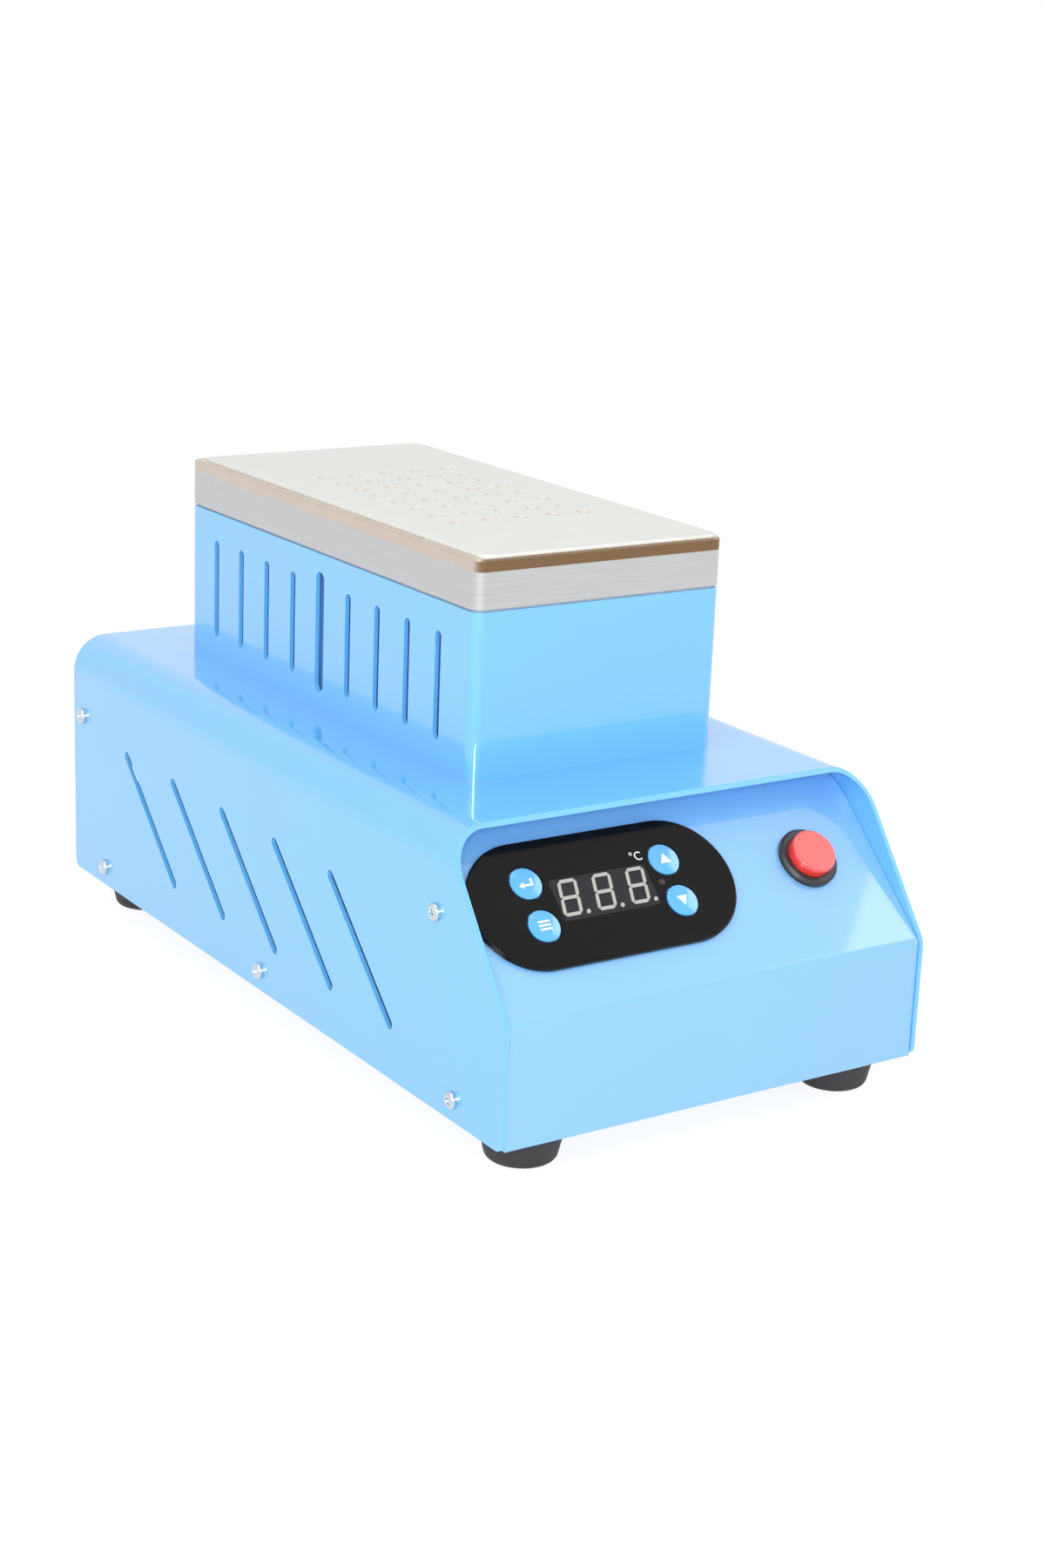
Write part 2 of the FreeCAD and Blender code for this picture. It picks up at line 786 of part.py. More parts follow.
def make_heating_block():
    """Aluminium block with milled air channels, a seal groove and bores for what is fixed to it."""
    block = tower_slab(0, tower_radius, z_block, z_plate)
    reach_x = (hole_columns - 1) / 2 * hole_pitch
    reach_y = (hole_rows - 1) / 2 * hole_pitch
    floor = z_plate - groove_depth
    depth = UP * 2 * groove_depth
    left = Vector(field_x - reach_x, pump_y, floor)
    cuts = [slot(left, left + RIGHT * 2 * reach_x, groove_width, depth)]
    for column in range(hole_columns):
        start = Vector(left.x + column * hole_pitch, field_y - reach_y, floor)
        cuts.append(slot(start, start + REAR * 2 * reach_y, groove_width, depth))
    cuts.append(seal_ring(0))
    cuts.append(rod(stem_bore, block_thickness, Vector(0, pump_y, z_block)))
    cuts.append(rod(stud_diameter + hole_play, stud_length, Vector(0, pump_y, z_block)))
    cuts.append(rod(probe_diameter + hole_play, probe_reach, Vector(0, tower_y - probe_offset, z_block)))
    for x, y in clamp_screw_places():
        cuts.append(rod(screw_size + hole_play, clamp_reach + hole_play, Vector(x, y, z_block)))
    for x, y in plate_screw_places():
        cuts.append(countersunk(x, y, hole_play))
    return block.cut(cuts)


def make_suction_plate():
    """Top plate with the field of suction holes."""
    plate = tower_slab(0, tower_radius, z_plate, z_mat)
    top_edges = [edge for edge in plate.Edges if abs(edge.BoundBox.ZMin - z_mat) < 1e-4]
    plate = plate.makeChamfer(plate_chamfer, top_edges)
    cuts = [rod(plate_hole, plate_thickness, Vector(x, y, z_plate)) for x, y in hole_places()]
    cuts += [countersunk(x, y, hole_play) for x, y in plate_screw_places()]
    return plate.cut(cuts)


def make_plate_screws():
    return group([countersunk(x, y, 0) for x, y in plate_screw_places()])


def make_silicone_mat():
    """Soft mat on the suction plate, with its own wider holes."""
    top = z_mat + mat_thickness
    mat = slab(tower_width - 2 * mat_side_inset, tower_length - 2 * mat_end_inset, mat_radius, z_mat, top,
               mat_x, tower_y + mat_back)
    top_edges = [edge for edge in mat.Edges if abs(edge.BoundBox.ZMin - top) < 1e-4]
    mat = mat.makeFillet(mat_edge, top_edges)
    return mat.cut([rod(mat_hole, mat_thickness, Vector(x, y, z_mat)) for x, y in hole_places()])


def pack_layer(z0, z1):
    """One layer of the heater pack, with holes for the fitting, the probe and the clamp screws."""
    layer = slab(pack_width, pack_length, pack_radius, z0, z1, 0, tower_y)
    room = 2 * fitting_hex / math.sqrt(3) + 2 * hole_play
    cuts = [
        rod(room, z1 - z0, Vector(0, pump_y, z0)),
        rod(probe_diameter + hole_play, z1 - z0, Vector(0, tower_y - probe_offset, z0)),
    ]
    for x, y in clamp_screw_places():
        cuts.append(rod(screw_size + hole_play, z1 - z0, Vector(x, y, z0)))
    return layer.cut(cuts)


def make_clamp_screws():
    reach = z_block - z_pack + clamp_reach
    screws = []
    for x, y in clamp_screw_places():
        screws.append(pan_screw(screw_size, screw_head, screw_head_height, reach, Vector(x, y, z_pack), UP))
    return group(screws)


def make_temperature_probe():
    """Sensor sleeve with a tapered tip, pushed up into the block."""
    tip = z_block + probe_reach
    probe = rod(probe_diameter, probe_length, Vector(0, tower_y - probe_offset, tip - probe_length))
    tip_edges = [edge for edge in probe.Edges if abs(edge.BoundBox.ZMin - tip) < 1e-4]
    return probe.makeChamfer(probe_diameter / 4, tip_edges)


# Vacuum line and pump

def barbed_stem(length, start, direction):
    """Hose stem with barbs towards its tip."""
    radius = stem_diameter / 2
    profile = [(0, 0), (radius, 0)]
    for index in range(barb_count):
        low = length - (barb_count - index) * barb_pitch
        profile += [(radius, low), (radius + barb_rise, low), (radius, low + barb_pitch)]
    profile.append((0, length))
    return turned(profile, start, direction)


def make_vacuum_fitting():
    """Stud, hexagon and barbed stem below the block, over the pump."""
    z_hex = z_block - fitting_hex_height
    body = hexagon(fitting_hex, z_hex, z_block, 0, pump_y)
    stud = rod(stud_diameter, stud_length, Vector(0, pump_y, z_block))
    stem = barbed_stem(stem_length, Vector(0, pump_y, z_hex), DOWN)
    length = stud_length + fitting_hex_height + stem_length
    bore = rod(stem_bore, length, Vector(0, pump_y, z_block + stud_length), DOWN)
    return body.fuse([stud, stem]).cut(bore)


def make_vacuum_hose():
    """Hose from the fitting down to the pump's inlet, in two equal bends."""
    top = z_block - fitting_hex_height - stem_length + hose_grip
    bottom = z_valves + head_thickness + port_length - hose_grip
    turn = math.acos(1 - hose_shift / (2 * hose_bend))
    straight = (top - bottom - 2 * hose_bend * math.sin(turn)) / 2

    def place(x, drop):
        return Vector(x, pump_y, top - drop)

    def on_bend(angle):
        return hose_bend * (1 - math.cos(angle)), straight + hose_bend * math.sin(angle)

    middle_x, middle_drop = on_bend(turn)
    half_x, half_drop = on_bend(turn / 2)
    length = top - bottom
    first = Part.Arc(place(0, straight), place(half_x, half_drop), place(middle_x, middle_drop))
    second = Part.Arc(place(middle_x, middle_drop), place(hose_shift - half_x, length - half_drop),
                      place(hose_shift, length - straight))
    runs = [
        Part.LineSegment(place(0, 0), place(0, straight)), first, second,
        Part.LineSegment(place(hose_shift, length - straight), place(hose_shift, length)),
    ]
    path = Part.Wire([run.toShape() for run in runs])
    bore = stem_diameter + 2 * barb_rise + hose_bore_play

    def tube(diameter):
        ring = Part.Wire(Part.makeCircle(diameter / 2, place(0, 0), DOWN))
        return path.makePipeShell([ring], True, True)

    return tube(bore + 2 * hose_wall).cut(tube(bore))


def pump_slab(z0, z1):
    return slab(case_width, case_depth, case_wall, z0, z1, pump_x, pump_y)


def make_pump_motor():
    """Motor can with a bearing in each end."""
    front = Vector(pump_x, pump_back + pump_plate, z_shaft)
    can = rod(motor_diameter, motor_length, front, REAR)
    hollow = rod(motor_diameter - 2 * motor_wall, motor_length - 2 * motor_cap,
                 front + REAR * motor_cap, REAR)
    bearing = rod(shaft_diameter + 2 * running_fit, motor_length, front, REAR)
    return can.cut([hollow, bearing])


def make_pump_rotor():
    """Armature, shaft and crank in one turning piece."""
    end = pump_back + pump_plate + motor_length
    crank_start = Vector(pump_x, pump_y - crank_width / 2, z_shaft)
    armature_start = end - motor_cap - (motor_length - 2 * motor_cap + armature_length) / 2
    armature = rod(armature_diameter, armature_length, Vector(pump_x, armature_start, z_shaft), REAR)
    shaft = rod(shaft_diameter, end - crank_start.y, crank_start, REAR)
    crank = rod(2 * crank_radius, crank_width, crank_start + UP * crank_throw, REAR)
    return armature.fuse([shaft, crank])


def make_pump_crankcase():
    case = pump_slab(z_shaft - case_below, z_shaft + case_above)
    room = rod(crank_space, case_depth - case_wall, Vector(pump_x, pump_front + case_wall, z_shaft), REAR)
    throat = rod(diaphragm_bore, case_above, Vector(pump_x, pump_y, z_shaft))
    return case.cut([room, throat])


def make_pump_rod():
    """Ring round the crank with a stem and a disc below the diaphragm."""
    bore = 2 * (crank_radius + crank_throw + crank_clear)
    width = crank_width - 2 * crank_clear
    start = Vector(pump_x, pump_y - width / 2, z_shaft)
    ring = rod(bore + 2 * rod_wall, width, start, REAR)
    stem = rod(rod_stem, case_above, Vector(pump_x, pump_y, z_shaft))
    disc = rod(diaphragm_bore - 2 * rod_wall, rod_wall,
               Vector(pump_x, pump_y, z_shaft + case_above - rod_wall))
    room = rod(bore, 2 * rod_stem, Vector(pump_x, pump_y - rod_stem, z_shaft), REAR)
    return ring.fuse([stem, disc]).cut(room)


def make_pump_valve_head():
    """Head over the diaphragm with a barbed inlet stem and a plain outlet."""
    top = z_valves + head_thickness
    outlet_x = pump_x + port_spacing / 2
    stem = barbed_stem(port_length, Vector(hose_shift, pump_y, top), UP)
    outlet = rod(stem_diameter, outlet_length, Vector(outlet_x, pump_y, top))
    bores = [rod(diaphragm_bore, head_thickness / 4, Vector(pump_x, pump_y, z_valves))]
    for x in (hose_shift, outlet_x):
        bores.append(rod(stem_bore, head_thickness + port_length, Vector(x, pump_y, z_valves)))
    return pump_slab(z_valves, top).fuse([stem, outlet]).cut(bores)


def make_pump_bracket():
    """Angle that the motor and the crankcase are bolted to from either side."""
    half = bracket_width / 2
    top = z_pump_foot + pump_plate
    back = pump_back + pump_plate
    foot = box(pump_x - half, pump_x + half, pump_front, back, z_pump_foot, top)
    upright = box(pump_x - case_width / 2, pump_x + case_width / 2, pump_back, back, z_pump_foot,
                  z_shaft + case_above)
    opening = rod(shaft_diameter + case_wall, pump_plate, Vector(pump_x, pump_back, z_shaft), REAR)
    return foot.fuse(upright).removeSplitter().cut(opening)


def make_pump_mounts():
    """Waisted rubber mounts below the bracket."""
    radius = mount_diameter / 2
    waist = radius - pump_foot / 8
    profile = [(0, 0), (radius, 0), (waist, pump_foot / 2), (radius, pump_foot), (0, pump_foot)]
    return group([turned(profile, Vector(x, y, z_floor)) for x, y in pump_mount_places()])


# Supply board

def make_supply_board():
    board = slab(board_width, board_length, board_corner, z_board, z_board + board_thickness,
                 board_x, board_y)
    holes = []
    for x, y in board_post_places():
        holes.append(rod(post_neck + hole_play, board_thickness, Vector(x, y, z_board)))
    return board.cut(holes)


def make_board_posts():
    """Snap-in posts that hold the board off the tray."""
    neck = post_neck / 2
    barb = neck + post_barb
    top = board_rise + board_thickness
    profile = [
        (0, 0), (post_diameter / 2, 0), (post_diameter / 2, board_rise), (neck, board_rise), (neck, top),
        (barb, top), (neck, top + post_neck), (0, top + post_neck),
    ]
    return group([turned(profile, Vector(x, y, z_floor)) for x, y in board_post_places()])


def make_supply_transformer():
    """Wound bobbin in a square core."""
    z0 = z_board + board_thickness
    y = board_y + transformer_y
    core = slab(transformer_width, transformer_length, board_corner, z0, z0 + transformer_height, board_x, y)
    window = box(board_x - transformer_width / 4, board_x + transformer_width / 4,
                 y - transformer_length, y + transformer_length,
                 z0 + transformer_height / 4, z0 + transformer_height * 3 / 4)
    winding = rod(winding_diameter, winding_length,
                  Vector(board_x, y - winding_length / 2, z0 + transformer_height / 2), REAR)
    return core.cut(window).fuse(winding)


def make_supply_capacitors():
    z0 = z_board + board_thickness
    cans = []
    for side in SIDES:
        place = Vector(board_x + side * capacitor_pitch / 2, board_y + capacitor_y, z0)
        can = rod(capacitor_diameter, capacitor_height, place)
        rims = [edge for edge in can.Edges if abs(edge.BoundBox.ZMin - z0 - capacitor_height) < 1e-4]
        cans.append(can.makeChamfer(capacitor_edge, rims))
    return group(cans)


def make_supply_terminals():
    """Row of screw terminals with an entry for each lead."""
    z0 = z_board + board_thickness
    y = board_y + terminal_y
    length = terminal_count * terminal_pitch
    row = box(board_x - length / 2, board_x + length / 2, y - terminal_depth / 2, y + terminal_depth / 2,
              z0, z0 + terminal_height)
    cuts = []
    for index in range(terminal_count):
        x = board_x + (index - (terminal_count - 1) / 2) * terminal_pitch
        start = Vector(x, y - terminal_depth / 2, z0 + terminal_entry)
        cuts.append(rod(terminal_entry, terminal_depth / 2, start, REAR))
        cuts.append(rod(terminal_entry, terminal_height / 2, Vector(x, y, z0 + terminal_height / 2)))
    return row.cut(cuts)


# Thermostat, in the panel's own frame: across, up the lean, outwards

def make_thermostat_face():
    """Pill-shaped face with a window and round openings for the keys."""
    reach = (pill_width - pill_height) / 2
    start = Vector(pill_u - reach, pill_v, 0)
    face = slot(start, start + RIGHT * 2 * reach, pill_height, UP * pill_thickness).removeSplitter()
    rim = [edge for edge in face.Edges if abs(edge.BoundBox.ZMin - pill_thickness) < 1e-4]
    face = face.makeFillet(pill_edge, rim)
    cuts = [slab(window_width + 2 * window_play, window_height + 2 * window_play, window_corner,
                 -pill_thickness, 2 * pill_thickness, pill_u, pill_v)]
    for u, v in key_places().values():
        cuts.append(rod(key_diameter + 2 * key_play, pill_thickness, Vector(u, v, 0)))
    return on_panel(face.cut(cuts))


def make_display_window():
    front = pill_thickness - window_drop
    return on_panel(slab(window_width, window_height, window_corner, front - window_thickness, front,
                         pill_u, pill_v))


def make_display_module():
    """Digit module behind the window, with a shallow lit field."""
    module = box(pill_u - display_width / 2, pill_u + display_width / 2, pill_v - display_height / 2,
                 pill_v + display_height / 2, w_board, -display_play)
    field = slab(window_width, window_height, window_corner, -2 * display_play, 0, pill_u, pill_v)
    return on_panel(module.cut(field))


def thermostat_slab(inset, w0, w1):
    return slab(opening_width - 2 * inset, opening_height - 2 * inset, opening_radius - inset, w0, w1,
                pill_u, pill_v)


def thermostat_post_places():
    u = opening_width / 2 - case_play - thermostat_wall - opening_radius / 2
    v = opening_height / 2 - case_play - thermostat_wall - opening_radius / 2
    return [(pill_u + i * u, pill_v + j * v) for i in SIDES for j in SIDES]


def make_thermostat_housing():
    """Box behind the face, with posts that carry the thermostat's board."""
    inset = case_play + thermostat_wall
    shell = thermostat_slab(case_play, -thermostat_depth, 0)
    shell = shell.cut(thermostat_slab(inset, -thermostat_depth + thermostat_wall, thermostat_wall))
    floor = -thermostat_depth + thermostat_wall / 2
    height = w_board - board_thickness - floor
    posts = [rod(post_diameter, height, Vector(u, v, floor)) for u, v in thermostat_post_places()]
    return on_panel(shell.fuse(posts))


def make_thermostat_board():
    inset = case_play + thermostat_wall + case_play
    return on_panel(thermostat_slab(inset, w_board - board_thickness, w_board))


def make_tact_switches():
    """Switch bodies on the board, each open for its key's plunger."""
    half = switch_side / 2
    depth = plunger_seat + key_travel + key_play
    top = w_board + switch_height
    bodies = []
    for u, v in key_places().values():
        body = box(u - half, u + half, v - half, v + half, w_board, top)
        well = rod(plunger_diameter + 2 * plunger_play, depth, Vector(u, v, top - depth))
        bodies.append(on_panel(body.cut(well)))
    return group(bodies)


def make_key(u, v):
    """Domed key with a collar behind the face and a plunger into its switch."""
    top = pill_thickness + key_rise
    seat = -running_fit
    end = w_board + switch_height - plunger_seat
    radius = key_diameter / 2
    profile = [
        (0, end), (plunger_diameter / 2, end), (plunger_diameter / 2, seat - key_collar_thickness),
        (key_collar / 2, seat - key_collar_thickness), (key_collar / 2, seat), (radius, seat), (radius, top),
        (0, top),
    ]
    key = turned(profile)
    dome = Part.makeSphere(key_dome, Vector(0, 0, top - key_dome))
    barrel = rod(key_collar, top - end, Vector(0, 0, end))
    key = key.common(barrel.common(dome))
    key.Placement = Placement(Vector(u, v, 0), Rotation())
    return on_panel(key)


# Start button, in the panel's own frame

def start_place(height=0.0):
    return Vector(start_u, start_v, height)


def make_start_bezel():
    """Bezel ring and threaded barrel in one piece, open for the cap."""
    bore = cap_diameter / 2 + cap_play
    room = cap_collar / 2 + cap_play
    outer = bezel_diameter / 2
    barrel = barrel_diameter / 2
    profile = [
        (bore, bezel_height), (outer - bezel_edge, bezel_height), (outer, bezel_height - bezel_edge),
        (outer, 0),
        (barrel, 0), (barrel, -barrel_depth), (room, -barrel_depth), (room, -cap_guide), (bore, -cap_guide),
    ]
    return on_panel(turned(profile, start_place()))


def make_start_cap():
    """Push cap with a retaining collar and a stem."""
    top = bezel_height + cap_rise
    seat = -cap_guide - running_fit
    low = seat - cap_collar_thickness
    stem = contact_top + start_travel + cap_play
    profile = [
        (0, stem), (cap_stem / 2, stem), (cap_stem / 2, low), (cap_collar / 2, low), (cap_collar / 2, seat),
        (cap_diameter / 2, seat), (cap_diameter / 2, top), (0, top),
    ]
    cap = turned(profile, start_place())
    rim = [edge for edge in cap.Edges if abs(edge.BoundBox.ZMin - top) < 1e-4 and edge.BoundBox.XLength > 1]
    return on_panel(cap.makeFillet(cap_edge, rim))


def make_start_contact():
    """Contact block that closes the barrel, with two solder tabs."""
    block = rod(cap_collar, barrel_depth + contact_top, start_place(-barrel_depth))
    tabs = []
    for side in SIDES:
        u = start_u + side * cap_collar / 4
        tabs.append(box(u - tab_thickness / 2, u + tab_thickness / 2, start_v - tab_width / 2,
                        start_v + tab_width / 2, -barrel_depth - tab_length, -barrel_depth))
    return on_panel(block.fuse(tabs))


def make_start_nut():
    nut = hexagon(nut_flats, -sheet - nut_thickness, -sheet, start_u, start_v)
    thread = rod(barrel_diameter + hole_play, nut_thickness, start_place(-sheet - nut_thickness))
    return on_panel(nut.cut(thread))


# Mains inlet and switch, in the rear face's own frame: across, up, outwards

def inlet_pins():
    """The three blades, as boxes from behind the inlet to their tips."""
    back = inlet_flange - socket_depth - pin_tail
    pins = []
    for u, v in ((-pin_spacing / 2, -pin_drop / 2), (pin_spacing / 2, -pin_drop / 2), (0, pin_drop / 2)):
        pins.append(box(u - pin_width / 2, u + pin_width / 2, v - pin_height / 2, v + pin_height / 2,
                        back, inlet_flange - pin_tip))
    return pins


def make_inlet_socket():
    """Flanged three-pin socket with slanted upper corners."""
    flange = slab(inlet_flange_width, inlet_flange_height, inlet_corner, 0, inlet_flange)
    half_width = inlet_body_width / 2 - fit_gap
    half_height = inlet_body_height / 2 - fit_gap
    body = box(-half_width, half_width, -half_height, half_height, -inlet_body_depth, inlet_flange)
    right = socket_width / 2
    top = socket_height / 2
    outline = [
        (-right, -top), (right, -top), (right, top - socket_corner), (right - socket_corner, top),
        (-right + socket_corner, top), (-right, top - socket_corner),
    ]
    points = [Vector(u, v, inlet_flange - socket_depth) for u, v in outline]
    socket = Part.Face(Part.makePolygon(points + points[:1])).extrude(UP * socket_depth)
    screws = []
    for side in SIDES:
        place = Vector(side * inlet_screw_pitch / 2, 0, 0)
        screws.append(rod(inlet_screw_size + hole_play, inlet_flange, place))
    return at_rear(flange.fuse(body).removeSplitter().cut([socket] + screws + inlet_pins()), inlet_x)


def make_inlet_pins():
    return group([at_rear(pin, inlet_x) for pin in inlet_pins()])


def make_inlet_screws():
    screws = []
    for side in SIDES:
        seat = Vector(side * inlet_screw_pitch / 2, 0, inlet_flange)
        screws.append(at_rear(pan_screw(inlet_screw_size, inlet_screw_head, inlet_screw_head_height,
                                        inlet_screw_reach, seat, DOWN), inlet_x))
    return group(screws)


def pivot_place():
    return Vector(0, 0, rocker_flange - rocker_pivot_drop)


def make_rocker_frame():
    """Snap-in frame with a well for the rocker and holes for its pivot."""
    width = rocker_width + 2 * rocker_play
    length = rocker_length + 2 * rocker_play
    flange = slab(rocker_flange_width, rocker_flange_height, rocker_corner, 0, rocker_flange)
    half_width = width / 2 + rocker_wall - fit_gap
    half_length = length / 2 + rocker_wall - fit_gap
    body = box(-half_width, half_width, -half_length, half_length, -rocker_body_depth, rocker_flange)
    well = box(-width / 2, width / 2, -length / 2, length / 2,
               -rocker_body_depth + rocker_wall, rocker_flange)
    pivot = rod(pivot_pin + 2 * running_fit, 2 * half_width, pivot_place() - RIGHT * half_width, RIGHT)
    return at_rear(flange.fuse(body).removeSplitter().cut([well, pivot]), rocker_x)


def make_rocker():
    """Rocker on its pivot, with its lower end pressed in."""
    pivot = pivot_place()
    reach = rocker_length / 2
    crest = rocker_flange + rocker_height
    dip = crest - rocker_dip
    root = pivot.z - rocker_root
    outline = [(-reach, crest), (0, dip), (reach, crest), (reach, pivot.z),
               (reach / 2, root), (-reach / 2, root),
               (-reach, pivot.z)]
    body = side_prism(outline, -rocker_width / 2, rocker_width / 2)
    sweep = rod(rocker_length, rocker_width, pivot - RIGHT * rocker_width / 2, RIGHT)
    pin_half = rocker_width / 2 + rocker_play + rocker_wall / 2
    pin = rod(pivot_pin, 2 * pin_half, pivot - RIGHT * pin_half, RIGHT)
    rocker = body.common(sweep).fuse(pin)
    rocker.rotate(pivot, RIGHT, rocker_tilt)
    return at_rear(rocker, rocker_x)


# Feet and hood screws

def make_foot(x, y):
    """Tapered rubber foot, bored from below for its screw."""
    bore = foot_bore / 2
    hole = (foot_screw_size + hole_play) / 2
    profile = [
        (bore, 0), (foot_bottom / 2, 0), (foot_top / 2, foot_height), (hole, foot_height),
        (hole, foot_bore_depth), (bore, foot_bore_depth),
    ]
    foot = turned(profile)
    rim = [edge for edge in foot.Edges if edge.BoundBox.ZMax < 1e-4 and edge.BoundBox.XLength > foot_bore + 1]
    foot = foot.makeFillet(foot_round, rim)
    foot.Placement = Placement(Vector(x, y, 0), Rotation())
    return foot


def make_foot_screws():
    reach = z_floor + foot_screw_grip - foot_bore_depth
    screws = []
    for x, y in foot_places().values():
        screws.append(pan_screw(foot_screw_size, foot_screw_head, foot_screw_head_height, reach,
                                Vector(x, y, foot_bore_depth), UP))
    return group(screws)


def make_hood_screws():
    screws = []
    for side in SIDES:
        for y, z in hood_screw_places():
            screws.append(pan_screw(screw_size, screw_head, screw_head_height, screw_reach,
                                    Vector(side * x_side, y, z), RIGHT * -side))
    return group(screws)


def main():
    os.makedirs("parts", exist_ok=True)
    z_insulation = z_pack + clamp_thickness
    z_heater = z_insulation + insulation_thickness
    pieces = {
        "hood": make_hood(),
        "base_tray": make_base_tray(),
        "front_panel": make_front_panel(),
        "rear_panel": make_rear_panel(),
        "vent_baffle_left": make_vent_baffle(-1),
        "vent_baffle_right": make_vent_baffle(1),
        "hood_screws": make_hood_screws(),
        "foot_screws": make_foot_screws(),
        "tower": make_tower(),
        "heat_shield": make_heat_shield(),
        "tower_screws": make_tower_screws(),
        "block_gasket": make_block_gasket(),
        "heating_block": make_heating_block(),
        "plate_seal": seal_ring(hole_play),
        "suction_plate": make_suction_plate(),
        "plate_screws": make_plate_screws(),
        "silicone_mat": make_silicone_mat(),
        "heater_plate": pack_layer(z_heater, z_block),
        "insulation_board": pack_layer(z_insulation, z_heater),
        "clamp_plate": pack_layer(z_pack, z_insulation),
        "clamp_screws": make_clamp_screws(),
        "temperature_probe": make_temperature_probe(),
        "vacuum_fitting": make_vacuum_fitting(),
        "vacuum_hose": make_vacuum_hose(),
        "pump_motor": make_pump_motor(),
        "pump_rotor": make_pump_rotor(),
        "pump_crankcase": make_pump_crankcase(),
        "pump_rod": make_pump_rod(),
        "pump_diaphragm": pump_slab(z_shaft + case_above, z_valves),
        "pump_valve_head": make_pump_valve_head(),
        "pump_bracket": make_pump_bracket(),
        "pump_mounts": make_pump_mounts(),
        "supply_board": make_supply_board(),
        "board_posts": make_board_posts(),
        "supply_transformer": make_supply_transformer(),
        "supply_capacitors": make_supply_capacitors(),
        "supply_terminals": make_supply_terminals(),
        "thermostat_face": make_thermostat_face(),
        "display_window": make_display_window(),
        "display_module": make_display_module(),
        "thermostat_housing": make_thermostat_housing(),
        "thermostat_board": make_thermostat_board(),
        "tact_switches": make_tact_switches(),
        "start_bezel": make_start_bezel(),
        "start_cap": make_start_cap(),
        "start_contact": make_start_contact(),
        "start_nut": make_start_nut(),
        "inlet_socket": make_inlet_socket(),
        "inlet_pins": make_inlet_pins(),
        "inlet_screws": make_inlet_screws(),
        "rocker_frame": make_rocker_frame(),
        "rocker": make_rocker(),
    }
    for name, (u, v) in key_places().items():
        pieces[name] = make_key(u, v)
    for name, (x, y) in foot_places().items():
        pieces[name] = make_foot(x, y)
    for node, shape in pieces.items():
        export(node, shape)


main()
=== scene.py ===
import json
import math

import bmesh
import bpy
from mathutils import Matrix, Vector


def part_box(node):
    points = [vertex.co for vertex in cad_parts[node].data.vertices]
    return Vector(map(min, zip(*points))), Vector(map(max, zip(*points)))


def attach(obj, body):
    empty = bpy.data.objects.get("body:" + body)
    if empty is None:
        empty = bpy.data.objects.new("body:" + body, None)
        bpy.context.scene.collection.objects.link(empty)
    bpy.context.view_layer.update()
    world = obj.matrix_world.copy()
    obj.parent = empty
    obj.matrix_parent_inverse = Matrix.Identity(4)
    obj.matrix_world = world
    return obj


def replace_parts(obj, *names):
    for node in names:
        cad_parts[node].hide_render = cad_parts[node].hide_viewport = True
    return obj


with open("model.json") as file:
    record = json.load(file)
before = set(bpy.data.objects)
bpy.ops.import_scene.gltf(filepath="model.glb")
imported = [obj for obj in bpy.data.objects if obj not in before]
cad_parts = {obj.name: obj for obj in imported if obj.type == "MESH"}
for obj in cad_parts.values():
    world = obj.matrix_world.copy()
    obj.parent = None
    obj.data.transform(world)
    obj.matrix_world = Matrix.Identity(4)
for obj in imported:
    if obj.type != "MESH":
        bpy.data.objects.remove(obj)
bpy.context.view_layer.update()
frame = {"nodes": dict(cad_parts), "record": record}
nodes = frame["nodes"]
MM = 0.001
UP = Vector((0, 0, 1))

# Planes of the control panel and of the rear pan: x across, y up the sheet, z outwards
SHEET = 1.5 * MM                    # thickness of the rear pan
UPRIGHT = 39.5 * MM                 # upright part of the panel, below its leaning part
PANEL_TILT = math.radians(43)       # leaning part, from level
panel_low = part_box("front_panel")[0]
PANEL = Matrix.Translation((0, panel_low.y, panel_low.z + UPRIGHT)) @ Matrix.Rotation(PANEL_TILT, 4, "X")
TO_PANEL = PANEL.inverted()
rear_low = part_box("rear_panel")[0]
switch_low, switch_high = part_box("rocker_frame")
switch_middle = (switch_low + switch_high) / 2
REAR = Matrix.Translation((switch_middle.x, rear_low.y + SHEET, switch_middle.z)) @ Matrix(
    ((-1, 0, 0, 0), (0, 0, 1, 0), (0, 1, 0, 0), (0, 0, 0, 1)))


def linear(code):
    """The linear colour of an sRGB hex value."""
    parts = [int(code[i:i + 2], 16) / 255 for i in (1, 3, 5)]
    return [p / 12.92 if p <= 0.04045 else ((p + 0.055) / 1.055) ** 2.4 for p in parts] + [1.0]


def add(tree, kind, values={}, links={}, **settings):
    """Adds a node with its settings, socket values and links."""
    made = tree.nodes.new(kind)
    for name, value in settings.items():
        setattr(made, name, value)
    for name, value in values.items():
        made.inputs[name].default_value = value
    for name, source in links.items():
        tree.links.new(source, made.inputs[name])
    return made


# Materials

DRIFT_LOW, DRIFT_HIGH = 0.3, 0.7    # most of a noise texture's values lie between these


